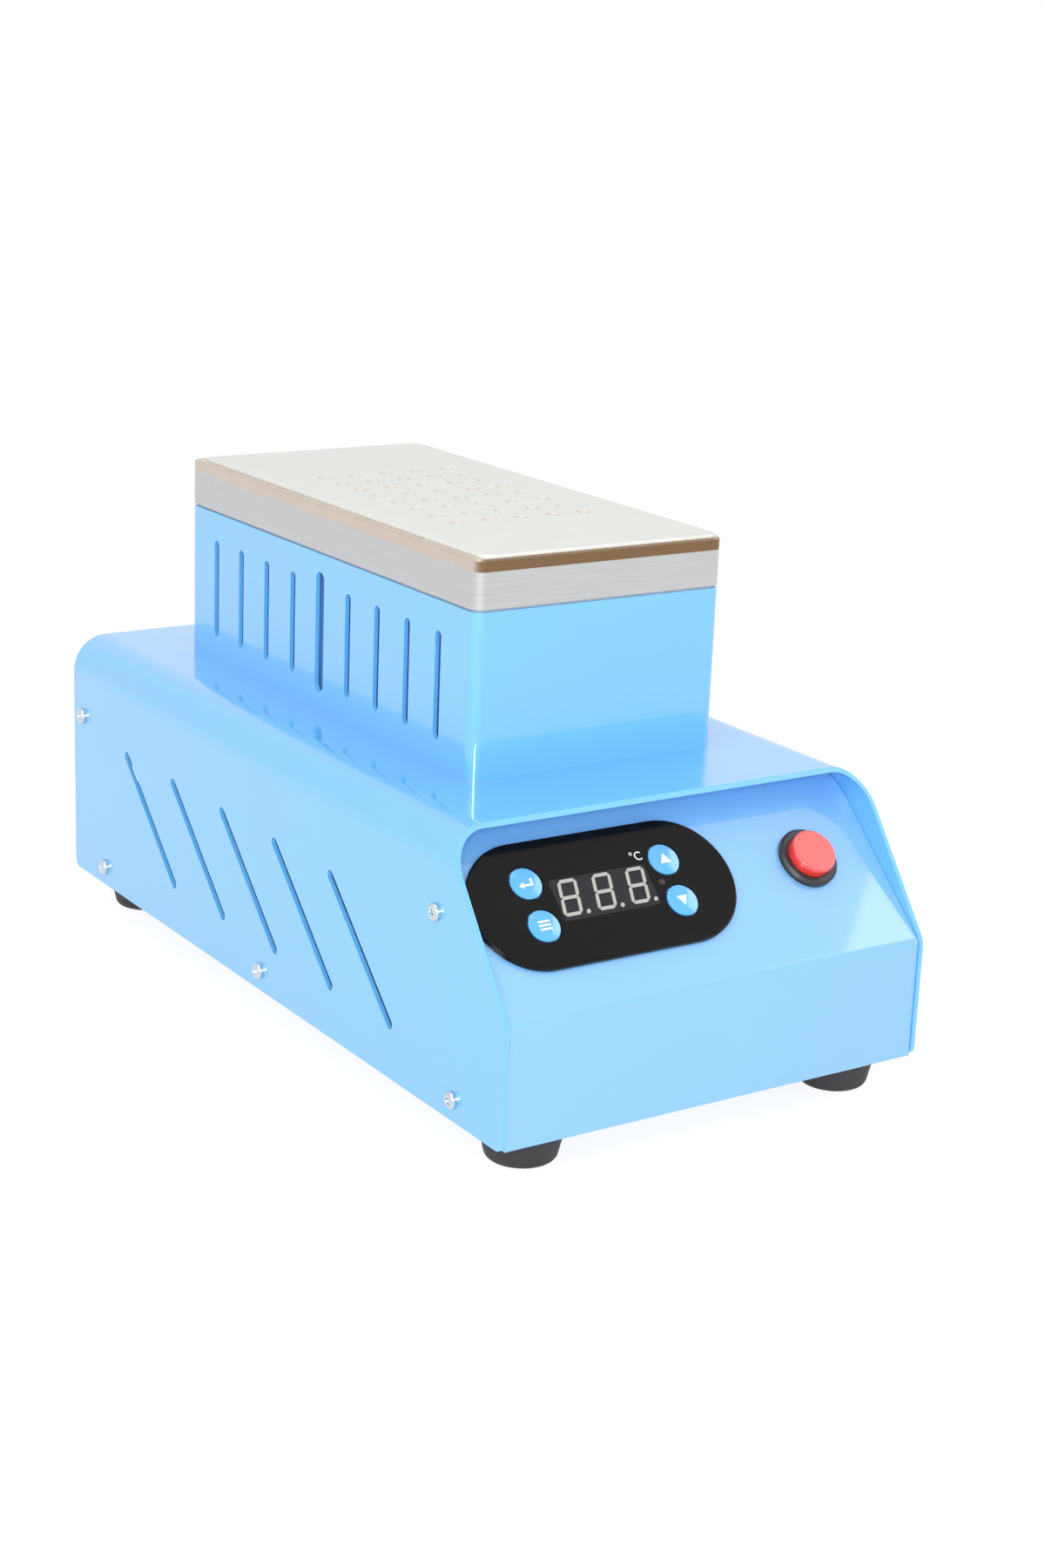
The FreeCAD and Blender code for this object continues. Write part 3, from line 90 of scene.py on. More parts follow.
def finish(name, colours, patch, rough, grain, lift, stretch=(1, 1, 1), sockets={}):
    """A surface whose colour and gloss drift over patches of so many millimetres, with a grain of so many
    that lifts it. Stretch below 1 draws both out along that axis. Sockets hold for the whole surface."""
    made = bpy.data.materials.new(name)
    made.use_nodes = True
    tree = made.node_tree
    shader = tree.nodes["Principled BSDF"]
    for socket, value in sockets.items():
        shader.inputs[socket].default_value = value
    place = add(tree, "ShaderNodeTexCoord")
    drawn = add(tree, "ShaderNodeMapping", {"Scale": stretch}, {"Vector": place.outputs["Object"]})
    drift = add(tree, "ShaderNodeTexNoise", {"Scale": 1000 / patch, "Detail": 3.0},
                {"Vector": drawn.outputs[0]})
    tint = add(tree, "ShaderNodeMix", {6: linear(colours[0]), 7: linear(colours[1])},
               {0: drift.outputs[0]}, data_type="RGBA")
    gloss = add(tree, "ShaderNodeMapRange",
                {"From Min": DRIFT_LOW, "From Max": DRIFT_HIGH, "To Min": rough[0], "To Max": rough[1]},
                {"Value": drift.outputs[0]})
    fine = add(tree, "ShaderNodeTexNoise", {"Scale": 1000 / grain, "Detail": 2.0},
               {"Vector": drawn.outputs[0]})
    bump = add(tree, "ShaderNodeBump", {"Strength": 1.0, "Distance": lift * MM}, {"Height": fine.outputs[0]})
    tree.links.new(tint.outputs[2], shader.inputs["Base Color"])
    tree.links.new(gloss.outputs[0], shader.inputs["Roughness"])
    tree.links.new(bump.outputs[0], shader.inputs["Normal"])
    return made


# Baked gloss enamel on folded steel: a pale sky blue with the faint orange peel of a sprayed coat.
# The peel's real cells are about 1 mm wide, drawn at 2.5 mm so that they show.
enamel = {"Coat Weight": 1.0, "Coat Roughness": 0.04, "Coat IOR": 1.72, "IOR": 1.5}
body_enamel = finish("baked_gloss_enamel", ("#67B9F2", "#6BBCF4"), 25, (0.28, 0.34), 2.5, 0.004,
                     sockets=enamel)
# The control panel takes the same enamel painted a shade paler: painted light for the extra light the panel
# catches.
painted_light_panel_enamel = finish("gloss_enamel_painted_paler", ("#7BB9EE", "#7FBCF0"), 25, (0.28, 0.34), 2.5, 0.004,
                      sockets=enamel)
# The tray below gets a single coat, which dries to a soft sheen.
tray_enamel = finish("baked_satin_enamel", ("#74BBF2", "#7CC0F6"), 30, (0.40, 0.52), 1.5, 0.01,
                     sockets={"IOR": 1.5})
# The inner sheets behind the slots are duller, and painted paler than the outer enamel: painted light that
# brightens the shaded slots.
inner_enamel_painted_light = finish("inner_enamel_painted_paler", ("#8CCBFA", "#96D1FC"), 25, (0.42, 0.55), 1.5, 0.01,
                      sockets={"IOR": 1.5})

# Aluminium ground with a belt along its edges: fine lines round the block, drawn 0.35 mm apart to show.
belt_aluminium = finish("belt_ground_aluminium", ("#BABABB", "#D0D0D0"), 0.35, (0.26, 0.40), 0.35, 0.002,
                        stretch=(0.02, 0.02, 1), sockets={"Metallic": 1.0, "Anisotropic": 0.35})
# Cast silicone sheet: pale, dull and slightly chalky, with a fine cast skin.
cast_silicone = finish("cast_silicone_sheet", ("#DADAD4", "#E1E1DA"), 9, (0.52, 0.64), 0.7, 0.012,
                       sockets={"IOR": 1.41, "Subsurface Weight": 0.1, "Subsurface Scale": 0.3,
                                "Subsurface Radius": (0.004, 0.004, 0.004)})
# Extruded silicone tube: milky, with light that spreads inside it.
clear_silicone = finish("extruded_silicone_tube", ("#D2D7D3", "#E2E5E1"), 4, (0.30, 0.42), 1.0, 0.01,
                        sockets={"IOR": 1.41, "Subsurface Weight": 0.3, "Subsurface Scale": 0.002})

# Bright nickel plating on steel screws: a mirror with barrel-plating haze, its colour tinted blue as a
# painted reflection of the blue enamel round it.
nickel_painted_blue_reflection = finish("bright_nickel_painted_blue_reflection", ("#BCC8D0", "#D4DDE3"), 1.5, (0.14, 0.26), 0.6, 0.002,
                      sockets={"Metallic": 1.0})
# Cold-rolled steel with rolling lines along its length.
rolled_steel = finish("cold_rolled_steel", ("#A5A8AB", "#C3C5C8"), 0.8, (0.28, 0.42), 0.5, 0.003,
                      stretch=(1, 0.05, 1), sockets={"Metallic": 1.0})
# Turned brass: warm and bright, with a little tarnish in patches.
turned_brass = finish("turned_brass", ("#C59C4A", "#DDB866"), 2, (0.18, 0.30), 0.4, 0.002,
                      sockets={"Metallic": 1.0})

# Moulded rubber: dull near-black with the pitted skin of its mould.
foot_rubber = finish("moulded_rubber", ("#2A282A", "#383638"), 3, (0.55, 0.72), 0.6, 0.03,
                     sockets={"IOR": 1.5})
# Gaskets cut from silicone sheet: dull, pale blue-grey.
seal_rubber = finish("cut_silicone_gasket", ("#A4B4C0", "#B2C0CA"), 4, (0.60, 0.72), 0.8, 0.02,
                     sockets={"IOR": 1.41})

# Glass-filled nylon: black and dull, where fibres lie near the surface.
black_nylon = finish("glass_filled_nylon", ("#1C1C1D", "#29292A"), 2, (0.45, 0.60), 0.5, 0.02,
                     sockets={"IOR": 1.53})
# Moulded ABS: black, with the soft sheen and fine spark texture of its mould.
black_abs = finish("black_moulded_abs", ("#222123", "#2E2D2F"), 3, (0.34, 0.46), 0.4, 0.008,
                   sockets={"IOR": 1.54})
# The same plastic from a polished mould: deeper and glossy.
gloss_abs = finish("polished_black_abs", ("#1A1A1B", "#232324"), 5, (0.16, 0.24), 1.0, 0.002,
                   sockets={"IOR": 1.54})
# Green solder mask over copper: the tracks below lift it a little.
board_laminate = finish("green_solder_mask", ("#0E4A24", "#17602F"), 2.5, (0.30, 0.42), 0.5, 0.01,
                        sockets={"IOR": 1.5})
# Sintered ferrite: charcoal grey and grainy.
ferrite = finish("sintered_ferrite", ("#2B2C2E", "#3B3C3E"), 1.2, (0.60, 0.75), 0.5, 0.02,
                 sockets={"IOR": 2.0})
# Sleeve shrunk on to a can: dark blue, smooth and tight.
can_sleeve = finish("heat_shrunk_sleeve", ("#1B2138", "#262D48"), 6, (0.25, 0.36), 1.0, 0.004,
                    sockets={"IOR": 1.53})
# Pressed ceramic fibre: chalky, with a felted surface.
fibre_board = finish("pressed_ceramic_fibre", ("#D8D3C4", "#EEEADF"), 1.5, (0.88, 0.98), 0.9, 0.12,
                     sockets={"IOR": 1.45})

# Hard-coated acrylic face, printed black from behind: deep and smooth.
face_acrylic = finish("back_printed_acrylic", ("#0B0B0C", "#101011"), 12, (0.10, 0.18), 3.0, 0.001,
                      sockets={"IOR": 1.49, "Specular IOR Level": 0.18})
# Smoke-tinted acrylic with a little haze, so that the dark module behind it looks grey.
window_acrylic = finish("hazy_tinted_acrylic", ("#2E2D30", "#353437"), 8, (0.12, 0.20), 3.0, 0.001,
                        sockets={"IOR": 1.49, "Specular IOR Level": 0.18, "Alpha": 0.85})
# Tinted polycarbonate keys: clear blue skin over a blue core.
key_polycarbonate = finish("blue_polycarbonate", ("#46A7F2", "#55B2F8"), 3, (0.14, 0.20), 1.5, 0.002,
                           sockets={"IOR": 1.58, "Coat Weight": 1.0, "Coat Roughness": 0.04,
                                    "Subsurface Weight": 0.15, "Subsurface Scale": 0.001})
# Tinted epoxy of an unlit lamp: dark red and glassy.
lamp_epoxy = finish("dark_red_epoxy", ("#2B1416", "#38191B"), 1.0, (0.10, 0.16), 0.8, 0.001,
                    sockets={"IOR": 1.54})
# Pale grey light guides of the digit module, unlit.
digit_resin = finish("diffusing_resin", ("#A8A7A0", "#B5B4AC"), 1.0, (0.45, 0.55), 0.5, 0.003,
                     sockets={"IOR": 1.5})
# White screen-print ink, thin and slightly uneven.
print_ink = finish("white_screen_ink", ("#E6E7EA", "#F4F5F7"), 0.8, (0.40, 0.52), 0.3, 0.003,
                   sockets={"IOR": 1.5})


DARK_REFLECTION_FROM, DARK_REFLECTION_FULL = 0.35, 0.8    # how far a face turns to the front or rear to take the painted dark reflection
PAINTED_LIGHT_DEPTH = 0.45 * MM             # the painted light fades out so far below the cap's face
PAINTED_LIGHT_FULL = 0.12 * MM


def bronze_plate():
    """Aluminium dyed bronze in an anodising bath: pale and satin on top and along the sides. The faces that
    turn to the front or rear are painted deep brown, a painted reflection of dark surroundings."""
    made = finish("bronze_anodised_aluminium", ("#C9BAAE", "#D4C6BB"), 6, (0.20, 0.30), 0.8, 0.001,
                  sockets={"Metallic": 1.0})
    tree = made.node_tree
    shader = tree.nodes["Principled BSDF"]
    place = add(tree, "ShaderNodeTexCoord")
    facing = add(tree, "ShaderNodeSeparateXYZ", {}, {0: place.outputs["Normal"]})
    turned = add(tree, "ShaderNodeMath", {}, {0: facing.outputs["Y"]}, operation="ABSOLUTE")
    painted_reflection_mask = add(tree, "ShaderNodeMapRange", {"From Min": DARK_REFLECTION_FROM, "From Max": DARK_REFLECTION_FULL},
               {"Value": turned.outputs[0]})
    polished = shader.inputs["Base Color"].links[0].from_socket
    # Painted reflection: the faces towards the front and rear take this deep brown.
    painted_reflection_colour = add(tree, "ShaderNodeMix", {7: linear("#84694F")}, {0: painted_reflection_mask.outputs[0], 6: polished},
               data_type="RGBA")
    tree.links.new(painted_reflection_colour.outputs[2], shader.inputs["Base Color"])
    return made


def red_cap_plastic():
    """Red moulded cap whose pressed face is painted paler than the polished side: painted light on the face
    that the light falls on.
    """
    made = finish("red_polycarbonate_painted_light", ("#EF332B", "#F63E36"), 4, (0.20, 0.28), 1.0, 0.002,
                  sockets={"IOR": 1.58, "Coat Weight": 0.5, "Coat Roughness": 0.06})
    tree = made.node_tree
    shader = tree.nodes["Principled BSDF"]
    outward = PANEL.to_3x3() @ UP
    face = max(Vector(v.co).dot(outward) for v in nodes["start_cap"].data.vertices)
    place = add(tree, "ShaderNodeTexCoord")
    height = add(tree, "ShaderNodeVectorMath", {1: outward}, {0: place.outputs["Object"]},
                 operation="DOT_PRODUCT")
    painted_light_mask = add(tree, "ShaderNodeMapRange", {"From Min": face - PAINTED_LIGHT_DEPTH, "From Max": face - PAINTED_LIGHT_FULL},
                  {"Value": height.outputs["Value"]})
    moulded = shader.inputs["Base Color"].links[0].from_socket
    # Painted light: the cap's face takes this paler red.
    pale = add(tree, "ShaderNodeMix", {7: linear("#FA5F5D")}, {0: painted_light_mask.outputs[0], 6: moulded},
               data_type="RGBA")
    tree.links.new(pale.outputs[2], shader.inputs["Base Color"])
    return made


looks = {
    "body_paint": body_enamel, "tray_paint": tray_enamel, "inner_paint": inner_enamel_painted_light,
    "brushed_aluminium": belt_aluminium, "bronze_aluminium": bronze_plate(), "silicone_sheet": cast_silicone,
    "bright_nickel": nickel_painted_blue_reflection, "seal_rubber": seal_rubber, "foot_rubber": foot_rubber,
    "steel": rolled_steel, "fibre_board": fibre_board, "brass": turned_brass,
    "hose_silicone": clear_silicone, "pump_nylon": black_nylon, "circuit_board": board_laminate,
    "ferrite": ferrite, "capacitor_sleeve": can_sleeve, "terminal_plastic": black_nylon,
    "gloss_face": face_acrylic, "smoked_window": window_acrylic, "display_body": black_abs,
    "black_plastic": black_abs, "rocker_plastic": gloss_abs, "red_plastic": red_cap_plastic(),
    "blue_key": key_polycarbonate,
}
for part in frame["record"]["subparts"]:
    # The front panel takes the enamel with its painted light.
    look = painted_light_panel_enamel if part["node"] == "front_panel" else looks[part["material_slot"]]
    solid = nodes[part["node"]]
    solid.data.materials.clear()
    solid.data.materials.append(look)


# Modelling helpers

SMOOTH_ANGLE = math.radians(35)
LEVEL = 0.9                         # a face whose normal's z is past this is a top or an underside


def pick(*pieces):
    """Selects only these pieces and makes the first one active."""
    bpy.ops.object.select_all(action="DESELECT")
    for piece in pieces:
        piece.select_set(True)
    bpy.context.view_layer.objects.active = pieces[0]


def begin(primitive, stretch=(1, 1, 1), **sizes):
    """Starts a piece from a primitive, with nothing else selected."""
    bpy.ops.object.select_all(action="DESELECT")
    primitive(**sizes)
    bpy.context.object.scale = stretch
    return bpy.context.object


def choose(piece, kind, test):
    """In edit mode, selects only the faces or edges that pass a test."""
    bpy.ops.mesh.select_mode(type={"faces": "FACE", "edges": "EDGE"}[kind])
    bpy.ops.mesh.select_all(action="DESELECT")
    mesh = bmesh.from_edit_mesh(piece.data)
    for item in getattr(mesh, kind):
        item.select_set(bool(test(item)))
    mesh.select_flush_mode()
    bmesh.update_edit_mesh(piece.data)


def use_modifier(piece, kind, **settings):
    """Adds a modifier to a piece and applies it."""
    pick(piece)
    modifier = piece.modifiers.new(kind.lower(), kind)
    for name, value in settings.items():
        setattr(modifier, name, value)
    bpy.ops.object.modifier_apply(modifier=modifier.name)


def copy_to(piece, place):
    """A copy of a piece with its own mesh, moved by a matrix."""
    twin = piece.copy()
    twin.data = piece.data.copy()
    twin.data.transform(place)
    bpy.context.collection.objects.link(twin)
    return twin


def settle(piece, place):
    """Puts a piece's own turn, size and place into its mesh, then moves the mesh to its seat."""
    pick(piece)
    bpy.ops.object.transform_apply(location=True, rotation=True, scale=True)
    piece.data.transform(place)
    return piece


def join(pieces, name):
    """Joins pieces into one named object."""
    pick(*pieces)
    bpy.ops.object.join()
    bpy.context.object.name = name
    return bpy.context.object


def dress(piece, look, body):
    """Gives a finished piece its material and the body that carries it."""
    piece.data.materials.clear()
    piece.data.materials.append(look)
    pick(piece)
    bpy.ops.object.shade_smooth_by_angle(angle=SMOOTH_ANGLE)
    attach(piece, body)
    return piece


# Screws with a domed head and a cross recess, in place of the plain solids

DOME = 0.62                         # share of a head's height that its dome takes
RECESS_SPAN, RECESS_WIDTH = 0.56, 0.13      # cross recess, as shares of the head's width
RECESS_HEIGHT = 0.9                 # cutter over the head's height, half of it above the head
RECESS_TAPER = 0.45                 # share of its size that the recess keeps at its bottom
SHANK_EDGE = 0.25 * MM
NEAR = 0.001 * MM                   # heights closer than this are the same


def cross_screw(head, height, shank, reach):
    """A pan-head screw, head up, with its seat at the origin."""
    screw = begin(bpy.ops.mesh.primitive_cylinder_add, vertices=32, radius=head / 2, depth=height,
                  location=(0, 0, height / 2))
    bpy.ops.object.transform_apply(location=True)
    bpy.ops.object.mode_set(mode="EDIT")
    choose(screw, "edges", lambda edge: all(v.co.z > height - NEAR for v in edge.verts))
    bpy.ops.mesh.bevel(offset=height * DOME, segments=6, profile=0.55)
    choose(screw, "faces", lambda face: face.normal.z < -LEVEL)
    bpy.ops.mesh.inset(thickness=(head - shank) / 2)
    bpy.ops.mesh.extrude_region_move(TRANSFORM_OT_translate={"value": (0, 0, -reach)})
    bpy.ops.mesh.bevel(offset=SHANK_EDGE, segments=1, affect="EDGES")
    bpy.ops.object.mode_set(mode="OBJECT")
    for turn in (0, math.pi / 2):
        wing = begin(bpy.ops.mesh.primitive_cube_add,
                     (head * RECESS_SPAN, head * RECESS_WIDTH, height * RECESS_HEIGHT), size=1,
                     location=(0, 0, height), rotation=(0, 0, turn))
        bpy.ops.object.transform_apply(location=True, rotation=True, scale=True)
        bpy.ops.object.mode_set(mode="EDIT")
        choose(wing, "faces", lambda face: face.normal.z < -LEVEL)
        bpy.ops.transform.resize(value=(RECESS_TAPER, RECESS_TAPER, 1))
        bpy.ops.object.mode_set(mode="OBJECT")
        use_modifier(screw, "BOOLEAN", object=wing, operation="DIFFERENCE", solver="EXACT")
        bpy.data.objects.remove(wing)
    return screw


def set_screws(name, node, screw, places):
    """Copies a screw to its places and puts the set in a node's place."""
    copies = [copy_to(screw, place) for place in places]
    bpy.data.objects.remove(screw)
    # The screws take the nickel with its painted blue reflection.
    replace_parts(dress(join(copies, name), nickel_painted_blue_reflection, "body"), node)


# Hood screws, in millimetres from the hood's front and lower edge. Each stops at a turn of its own.
HOOD_SCREWS = ((27, 7), (150, 7), (273, 7), (39.3, 62.9), (291.6, 61))
TURN_PER_MM = 0.7
hood_low, hood_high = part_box("hood")
hood_seats = []
for side in (-1, 1):
    sideways = Matrix.Rotation(side * math.pi / 2, 4, "Y")
    for along, rise in HOOD_SCREWS:
        seat = Vector((side * hood_high.x, hood_low.y + along * MM, hood_low.z + rise * MM))
        stop = Matrix.Rotation(TURN_PER_MM * along + side, 4, "Z")
        hood_seats.append(Matrix.Translation(seat) @ sideways @ stop)
hood_screw = cross_screw(head=5.6 * MM, height=2.0 * MM, shank=3.0 * MM, reach=5.0 * MM)
set_screws("hood_screw_set", "hood_screws", hood_screw, hood_seats)

INLET_SCREW_REACH = 20 * MM         # either side of the inlet's middle
INLET_SCREW_TURN = 0.5
inlet_low, inlet_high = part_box("inlet_socket")
inlet_middle = (inlet_low + inlet_high) / 2
rearward = Matrix.Rotation(-math.pi / 2, 4, "X")
inlet_seats = []
for side in (-1, 1):
    seat = Vector((inlet_middle.x + side * INLET_SCREW_REACH, inlet_high.y, inlet_middle.z))
    stop = Matrix.Rotation(INLET_SCREW_TURN + side, 4, "Z")
    inlet_seats.append(Matrix.Translation(seat) @ rearward @ stop)
inlet_screw = cross_screw(head=5.6 * MM, height=1.8 * MM, shank=3.0 * MM, reach=9.0 * MM)
set_screws("inlet_screw_set", "inlet_screws", inlet_screw, inlet_seats)

FOOT_SCREW_SEAT = 6.0 * MM          # inside the foot, above the floor
foot_screw_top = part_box("foot_screws")[1].z
downward = Matrix.Rotation(math.pi, 4, "X")
foot_seats = []
for corner in ("front_left", "front_right", "rear_left", "rear_right"):
    foot_low, foot_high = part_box("foot_" + corner)
    middle = (foot_low + foot_high) / 2
    foot_seats.append(Matrix.Translation((middle.x, middle.y, FOOT_SCREW_SEAT)) @ downward)
foot_screw = cross_screw(head=7.5 * MM, height=2.6 * MM, shank=4.0 * MM,
                         reach=foot_screw_top - FOOT_SCREW_SEAT)
set_screws("foot_screw_set", "foot_screws", foot_screw, foot_seats)


# Digits on the window, and the signs on the face and its keys

def panel_box(node):
    """A node's lowest and highest corners in the panel's frame."""
    points = [TO_PANEL @ Vector(v.co) for v in nodes[node].data.vertices]
    return (Vector([min(p[axis] for p in points) for axis in range(3)]),
            Vector([max(p[axis] for p in points) for axis in range(3)]))


def top_middle(node):
    """Middle of a node's outer face in the panel's frame."""
    low, high = panel_box(node)
    return Vector(((low.x + high.x) / 2, (low.y + high.y) / 2, high.z))


FACE = top_middle("thermostat_face")
WINDOW_TOP = panel_box("display_window")[1].z
DIGIT_WIDTH = 7.0 * MM
DIGIT_HEIGHT = 12.3 * MM
DIGIT_PITCH = 12.55 * MM
DIGIT_SHIFT = Vector((-0.2 * MM, 0.4 * MM, 0))      # middle digit from the face's middle
DIGIT_SLANT = 0.22
DIGIT_LIFT = 0.04 * MM
BAR = 1.15 * MM
BAR_GAP = 0.18 * MM
BAR_MITRE = 0.48                    # share of the bar's width
POINT_RADIUS = 0.75 * MM
POINT_GAP = 2.0 * MM


def digit_bar(length):
    """One segment of a digit: a flat bar with mitred ends."""
    bar = begin(bpy.ops.mesh.primitive_plane_add, (length, BAR, 1), size=1)
    bpy.ops.object.transform_apply(scale=True)
    bpy.ops.object.mode_set(mode="EDIT")
    bpy.ops.mesh.select_all(action="SELECT")
    bpy.ops.mesh.bevel(offset=BAR * BAR_MITRE, affect="VERTICES")
    bpy.ops.mesh.select_all(action="SELECT")
    bpy.ops.mesh.extrude_region_move(TRANSFORM_OT_translate={"value": (0, 0, DIGIT_LIFT)})
    bpy.ops.mesh.select_all(action="SELECT")
    bpy.ops.mesh.normals_make_consistent(inside=False)
    bpy.ops.object.mode_set(mode="OBJECT")
    return bar


def make_digits():
    """Three slanted digits of seven segments, each with its point."""
    across = DIGIT_WIDTH - BAR
    upward = (DIGIT_HEIGHT - BAR) / 2
    level = digit_bar(across - BAR_GAP)
    upright = digit_bar(upward - BAR_GAP)
    point = begin(bpy.ops.mesh.primitive_cylinder_add, vertices=16, radius=POINT_RADIUS, depth=DIGIT_LIFT,
                  location=(0, 0, DIGIT_LIFT / 2))
    bpy.ops.object.transform_apply(location=True)
    slant = Matrix(((1, DIGIT_SLANT, 0, 0), (0, 1, 0, 0), (0, 0, 1, 0), (0, 0, 0, 1)))
    quarter = Matrix.Rotation(math.pi / 2, 4, "Z")
    pieces = []
    for index in (-1, 0, 1):
        middle = Vector((FACE.x + index * DIGIT_PITCH, FACE.y, WINDOW_TOP)) + DIGIT_SHIFT
        seat = PANEL @ Matrix.Translation(middle) @ slant
        for row in (-1, 0, 1):
            pieces.append(copy_to(level, seat @ Matrix.Translation((0, row * upward, 0))))
        for column in (-1, 1):
            for row in (-1, 1):
                move = Matrix.Translation((column * across / 2, row * upward / 2, 0))
                pieces.append(copy_to(upright, seat @ move @ quarter))
        dot = Matrix.Translation((DIGIT_WIDTH / 2 + POINT_GAP, -upward, 0))
        pieces.append(copy_to(point, seat @ dot))
    for pattern in (level, upright, point):
        bpy.data.objects.remove(pattern)
    return join(pieces, "display_digits")


dress(make_digits(), digit_resin, "body")


def stroke(length, width, x=0.0, y=0.0):
    """A short printed bar, in millimetres."""
    return begin(bpy.ops.mesh.primitive_plane_add, (length * MM, width * MM, 1), size=1,
                 location=(x * MM, y * MM, 0))


def wedge(size, x=0.0, y=0.0, turn=0.0):
    """A printed triangle that points upwards before its turn, in millimetres."""
    return begin(bpy.ops.mesh.primitive_circle_add, vertices=3, radius=size * MM, fill_type="NGON",
                 location=(x * MM, y * MM, 0), rotation=(0, 0, turn))


SIGN_START = 0.2 * MM               # a flat sign starts this far off the key
INK_LIFT = 0.03 * MM
INK = 0.02 * MM


def print_on_key(node, body, strokes):
    """Bends a printed sign over a key's dome."""
    sign = join([settle(piece, Matrix()) for piece in strokes], node + "_sign")
    bpy.ops.object.mode_set(mode="EDIT")
    bpy.ops.mesh.select_all(action="SELECT")
    bpy.ops.mesh.quads_convert_to_tris()
    bpy.ops.mesh.subdivide(number_cuts=5)
    bpy.ops.object.mode_set(mode="OBJECT")
    settle(sign, PANEL @ Matrix.Translation(top_middle(node) + UP * SIGN_START))
    use_modifier(sign, "SHRINKWRAP", target=nodes[node], wrap_method="NEAREST_SURFACEPOINT",
                 wrap_mode="ABOVE_SURFACE", offset=INK_LIFT)
    use_modifier(sign, "SOLIDIFY", thickness=INK, offset=-1)
    dress(sign, print_ink, body)


print_on_key("key_up", "up_key", [wedge(2.3, 0, -0.3)])
print_on_key("key_down", "down_key", [wedge(2.3, 0, 0.3, math.pi)])
print_on_key("key_enter", "enter_key", [
    stroke(3.6, 0.7, 0.3, -0.8), stroke(0.7, 2.2, 1.75, 0.3), wedge(1.25, -1.9, -0.8, math.pi / 2)])
print_on_key("key_set", "set_key", [stroke(4.2, 0.65, 0, row * 1.3) for row in (1, 0, -1)])

UNIT_SEAT = Vector((16.1, 8.6, 0.012)) * MM         # from the middle of the face
UNIT_SIZE = 4.2 * MM
UNIT_INK = 0.01 * MM
LAMP_SEAT = Vector((21.2, 0, 0)) * MM
LAMP_RADIUS = 1.1 * MM
LAMP_DEPTH = 0.4 * MM
LAMP_EDGE = 0.25 * MM


def make_unit_sign():
    """Degree Celsius sign printed above the window."""
    sign = begin(bpy.ops.object.text_add)
    sign.data.body = "°C"
    sign.data.size = UNIT_SIZE
    sign.data.align_x = "CENTER"
    sign.data.extrude = UNIT_INK
    bpy.ops.object.convert(target="MESH")
    sign = bpy.context.object
    sign.name = "unit_sign"
    return settle(sign, PANEL @ Matrix.Translation(FACE + UNIT_SEAT))


def make_output_lamp():
    """Small round lamp between the two right-hand keys."""
    lamp = begin(bpy.ops.mesh.primitive_cylinder_add, vertices=28, radius=LAMP_RADIUS, depth=LAMP_DEPTH)
    lamp.name = "output_lamp"
    bpy.ops.object.mode_set(mode="EDIT")
    choose(lamp, "faces", lambda face: face.normal.z > LEVEL)
    bpy.ops.mesh.bevel(offset=LAMP_EDGE, segments=4, affect="EDGES")
    bpy.ops.object.mode_set(mode="OBJECT")
    return settle(lamp, PANEL @ Matrix.Translation(FACE + LAMP_SEAT))


dress(make_unit_sign(), print_ink, "body")
dress(make_output_lamp(), lamp_epoxy, "body")


# On and off marks on the rocker

ROCKER_REST = math.radians(10)
PIVOT_DEPTH = 0.5 * MM              # rocker's pivot below the rear pan's face
HALF_MIDDLE = 4.6 * MM              # middle of a half, from the rocker's middle
HALF_HEIGHT = 3.5 * MM
HALF_SLOPE = math.atan2(0.7, 8.2)   # a half rises so much towards its end over its length
MARK_DEPTH = 0.06 * MM
LINE_WIDTH = 0.6 * MM
LINE_LENGTH = 3.2 * MM
LINE_CORNER = 0.12 * MM
RING_RADIUS = 1.7 * MM
RING_WIDTH = 0.5 * MM
ROCKER = (REAR @ Matrix.Translation((0, 0, -PIVOT_DEPTH)) @ Matrix.Rotation(ROCKER_REST, 4, "X")
          @ Matrix.Translation((0, 0, PIVOT_DEPTH)))


def rocker_half(side):
    """Middle of the rocker's upper or lower face at rest."""
    middle = Matrix.Translation((0, side * HALF_MIDDLE, HALF_HEIGHT))
    return ROCKER @ middle @ Matrix.Rotation(side * HALF_SLOPE, 4, "X")


def make_on_mark():
    """A short line with rounded corners."""
    mark = begin(bpy.ops.mesh.primitive_cube_add, (LINE_WIDTH, LINE_LENGTH, MARK_DEPTH), size=1)
    mark.name = "rocker_on_mark"
    bpy.ops.object.transform_apply(scale=True)
    bpy.ops.object.mode_set(mode="EDIT")
    choose(mark, "edges", lambda edge: abs(edge.verts[0].co.z - edge.verts[1].co.z) > NEAR)
    bpy.ops.mesh.bevel(offset=LINE_CORNER, segments=2)
    bpy.ops.object.mode_set(mode="OBJECT")
    return settle(mark, rocker_half(1))


def make_off_mark():
    """A flat ring."""
    mark = begin(bpy.ops.mesh.primitive_cylinder_add, vertices=40, radius=RING_RADIUS, depth=MARK_DEPTH)
    mark.name = "rocker_off_mark"
    bpy.ops.object.mode_set(mode="EDIT")
    choose(mark, "faces", lambda face: abs(face.normal.z) > LEVEL)
    bpy.ops.mesh.inset(thickness=RING_WIDTH)
    bpy.ops.mesh.bridge_edge_loops()
    bpy.ops.object.mode_set(mode="OBJECT")
    return settle(mark, rocker_half(-1))


dress(make_on_mark(), print_ink, "power_rocker")
dress(make_off_mark(), print_ink, "power_rocker")


# Floor, light and camera

def seen_directly(tree):
    """1 for what the camera sees, also in a mirror or through glass, and 0 for what only lights."""
    rays = add(tree, "ShaderNodeLightPath")
    seen = rays.outputs["Is Camera Ray"]
    for kind in ("Is Glossy Ray", "Is Transmission Ray"):
        seen = add(tree, "ShaderNodeMath", {}, {0: seen, 1: rays.outputs[kind]}, operation="ADD",
                   use_clamp=True).outputs[0]
    return seen


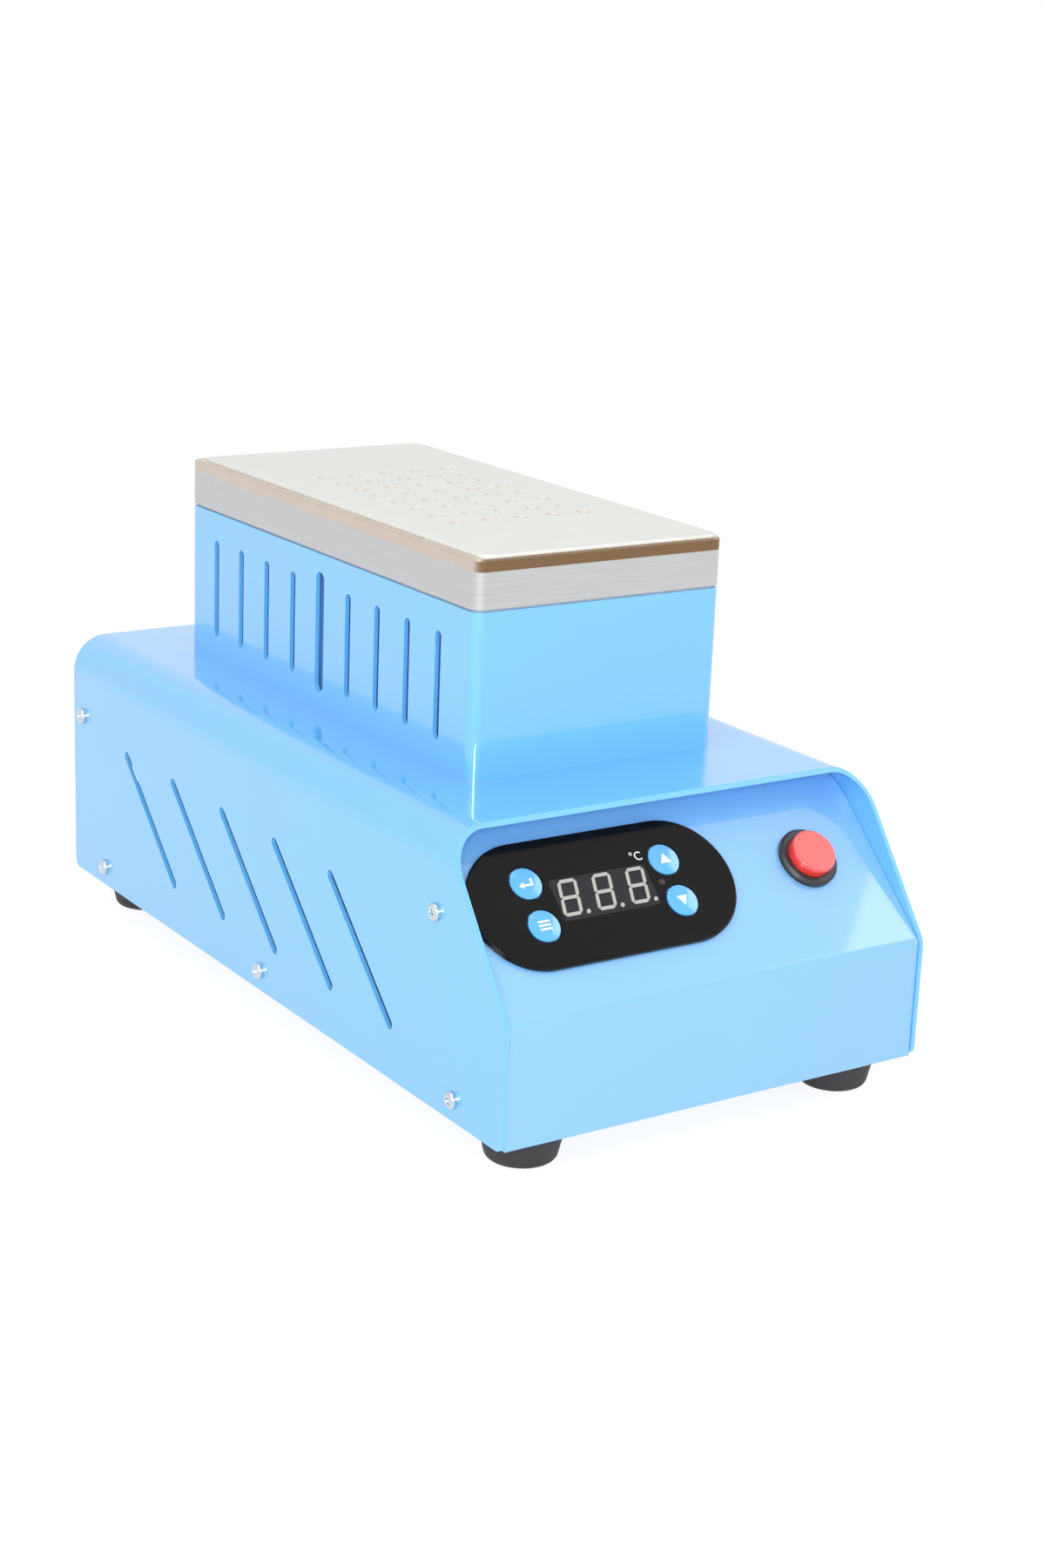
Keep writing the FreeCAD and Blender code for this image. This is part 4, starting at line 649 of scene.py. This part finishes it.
# White paper that the camera sees as white, with the object's soft shadow on it
PAPER_GLOW = 0.86
floor = begin(bpy.ops.mesh.primitive_plane_add, size=6)
floor.name = "floor"
paper = bpy.data.materials.new("white_paper_floor")
paper.use_nodes = True
tree = paper.node_tree
tree.nodes.remove(tree.nodes["Principled BSDF"])
matte = add(tree, "ShaderNodeBsdfDiffuse", {"Color": linear("#F2F2F2")})
lit = add(tree, "ShaderNodeBsdfDiffuse", {"Color": linear("#8A8A8A")})
white = add(tree, "ShaderNodeEmission", {"Color": linear("#FFFFFF"), "Strength": PAPER_GLOW})
bright = add(tree, "ShaderNodeAddShader", {}, {0: lit.outputs[0], 1: white.outputs[0]})
either = add(tree, "ShaderNodeMixShader", {},
             {0: seen_directly(tree), 1: matte.outputs[0], 2: bright.outputs[0]})
tree.links.new(either.outputs[0], tree.nodes["Material Output"].inputs["Surface"])
floor.data.materials.append(paper)

# White room, which lights the object less than its own white would
ROOM_LIGHT = 0.62
world = bpy.data.worlds.new("white_room")
bpy.context.scene.world = world
world.use_nodes = True
tree = world.node_tree
room = tree.nodes["Background"]
room.inputs["Color"].default_value = linear("#F6F9FF")
room.inputs["Strength"].default_value = ROOM_LIGHT
white = add(tree, "ShaderNodeBackground", {"Color": linear("#FFFFFF"), "Strength": 1.0})
either = add(tree, "ShaderNodeMixShader", {},
             {0: seen_directly(tree), 1: room.outputs[0], 2: white.outputs[0]})
tree.links.new(either.outputs[0], tree.nodes["World Output"].inputs["Surface"])

STUDIO_AIM = Vector((0, 0, 0.08))


def soft_box(name, place, size, power):
    """A square studio lamp that faces the object."""
    lamp = bpy.data.lights.new(name, "AREA")
    lamp.shape = "SQUARE"
    lamp.size = size
    lamp.energy = power
    holder = bpy.data.objects.new(name, lamp)
    bpy.context.collection.objects.link(holder)
    holder.location = place
    holder.rotation_euler = (STUDIO_AIM - Vector(place)).to_track_quat("-Z", "Y").to_euler()


soft_box("left_lamp", (-1.5, -0.7, 1.1), 1.0, 8)
soft_box("near_lamp", (-0.85, -1.35, 0.55), 0.4, 12.5)
soft_box("right_lamp", (1.4, -0.5, 0.9), 0.9, 5)
soft_box("top_lamp", (0.0, 0.2, 1.8), 1.2, 6.5)

# The photograph's camera, fitted to the object's corners
CAMERA_PLACE = (-0.472595, -0.736130, 0.335362)
CAMERA_LENS = 60.332
azimuth, elevation, roll = math.radians(-33.9821), math.radians(16.6164), math.radians(2.2697)
back = Vector((math.sin(azimuth) * math.cos(elevation), -math.cos(azimuth) * math.cos(elevation),
               math.sin(elevation)))
right = Vector((math.cos(azimuth), math.sin(azimuth), 0))
up = back.cross(right)
view_right = right * math.cos(roll) + up * math.sin(roll)
view_up = up * math.cos(roll) - right * math.sin(roll)
camera = bpy.data.objects.new("camera", bpy.data.cameras.new("camera"))
bpy.context.collection.objects.link(camera)
camera.data.lens = CAMERA_LENS
camera.matrix_world = Matrix.Translation(CAMERA_PLACE) @ Matrix(
    (view_right, view_up, back)).transposed().to_4x4()
bpy.context.scene.camera = camera
bpy.context.scene.view_settings.view_transform = "Standard"
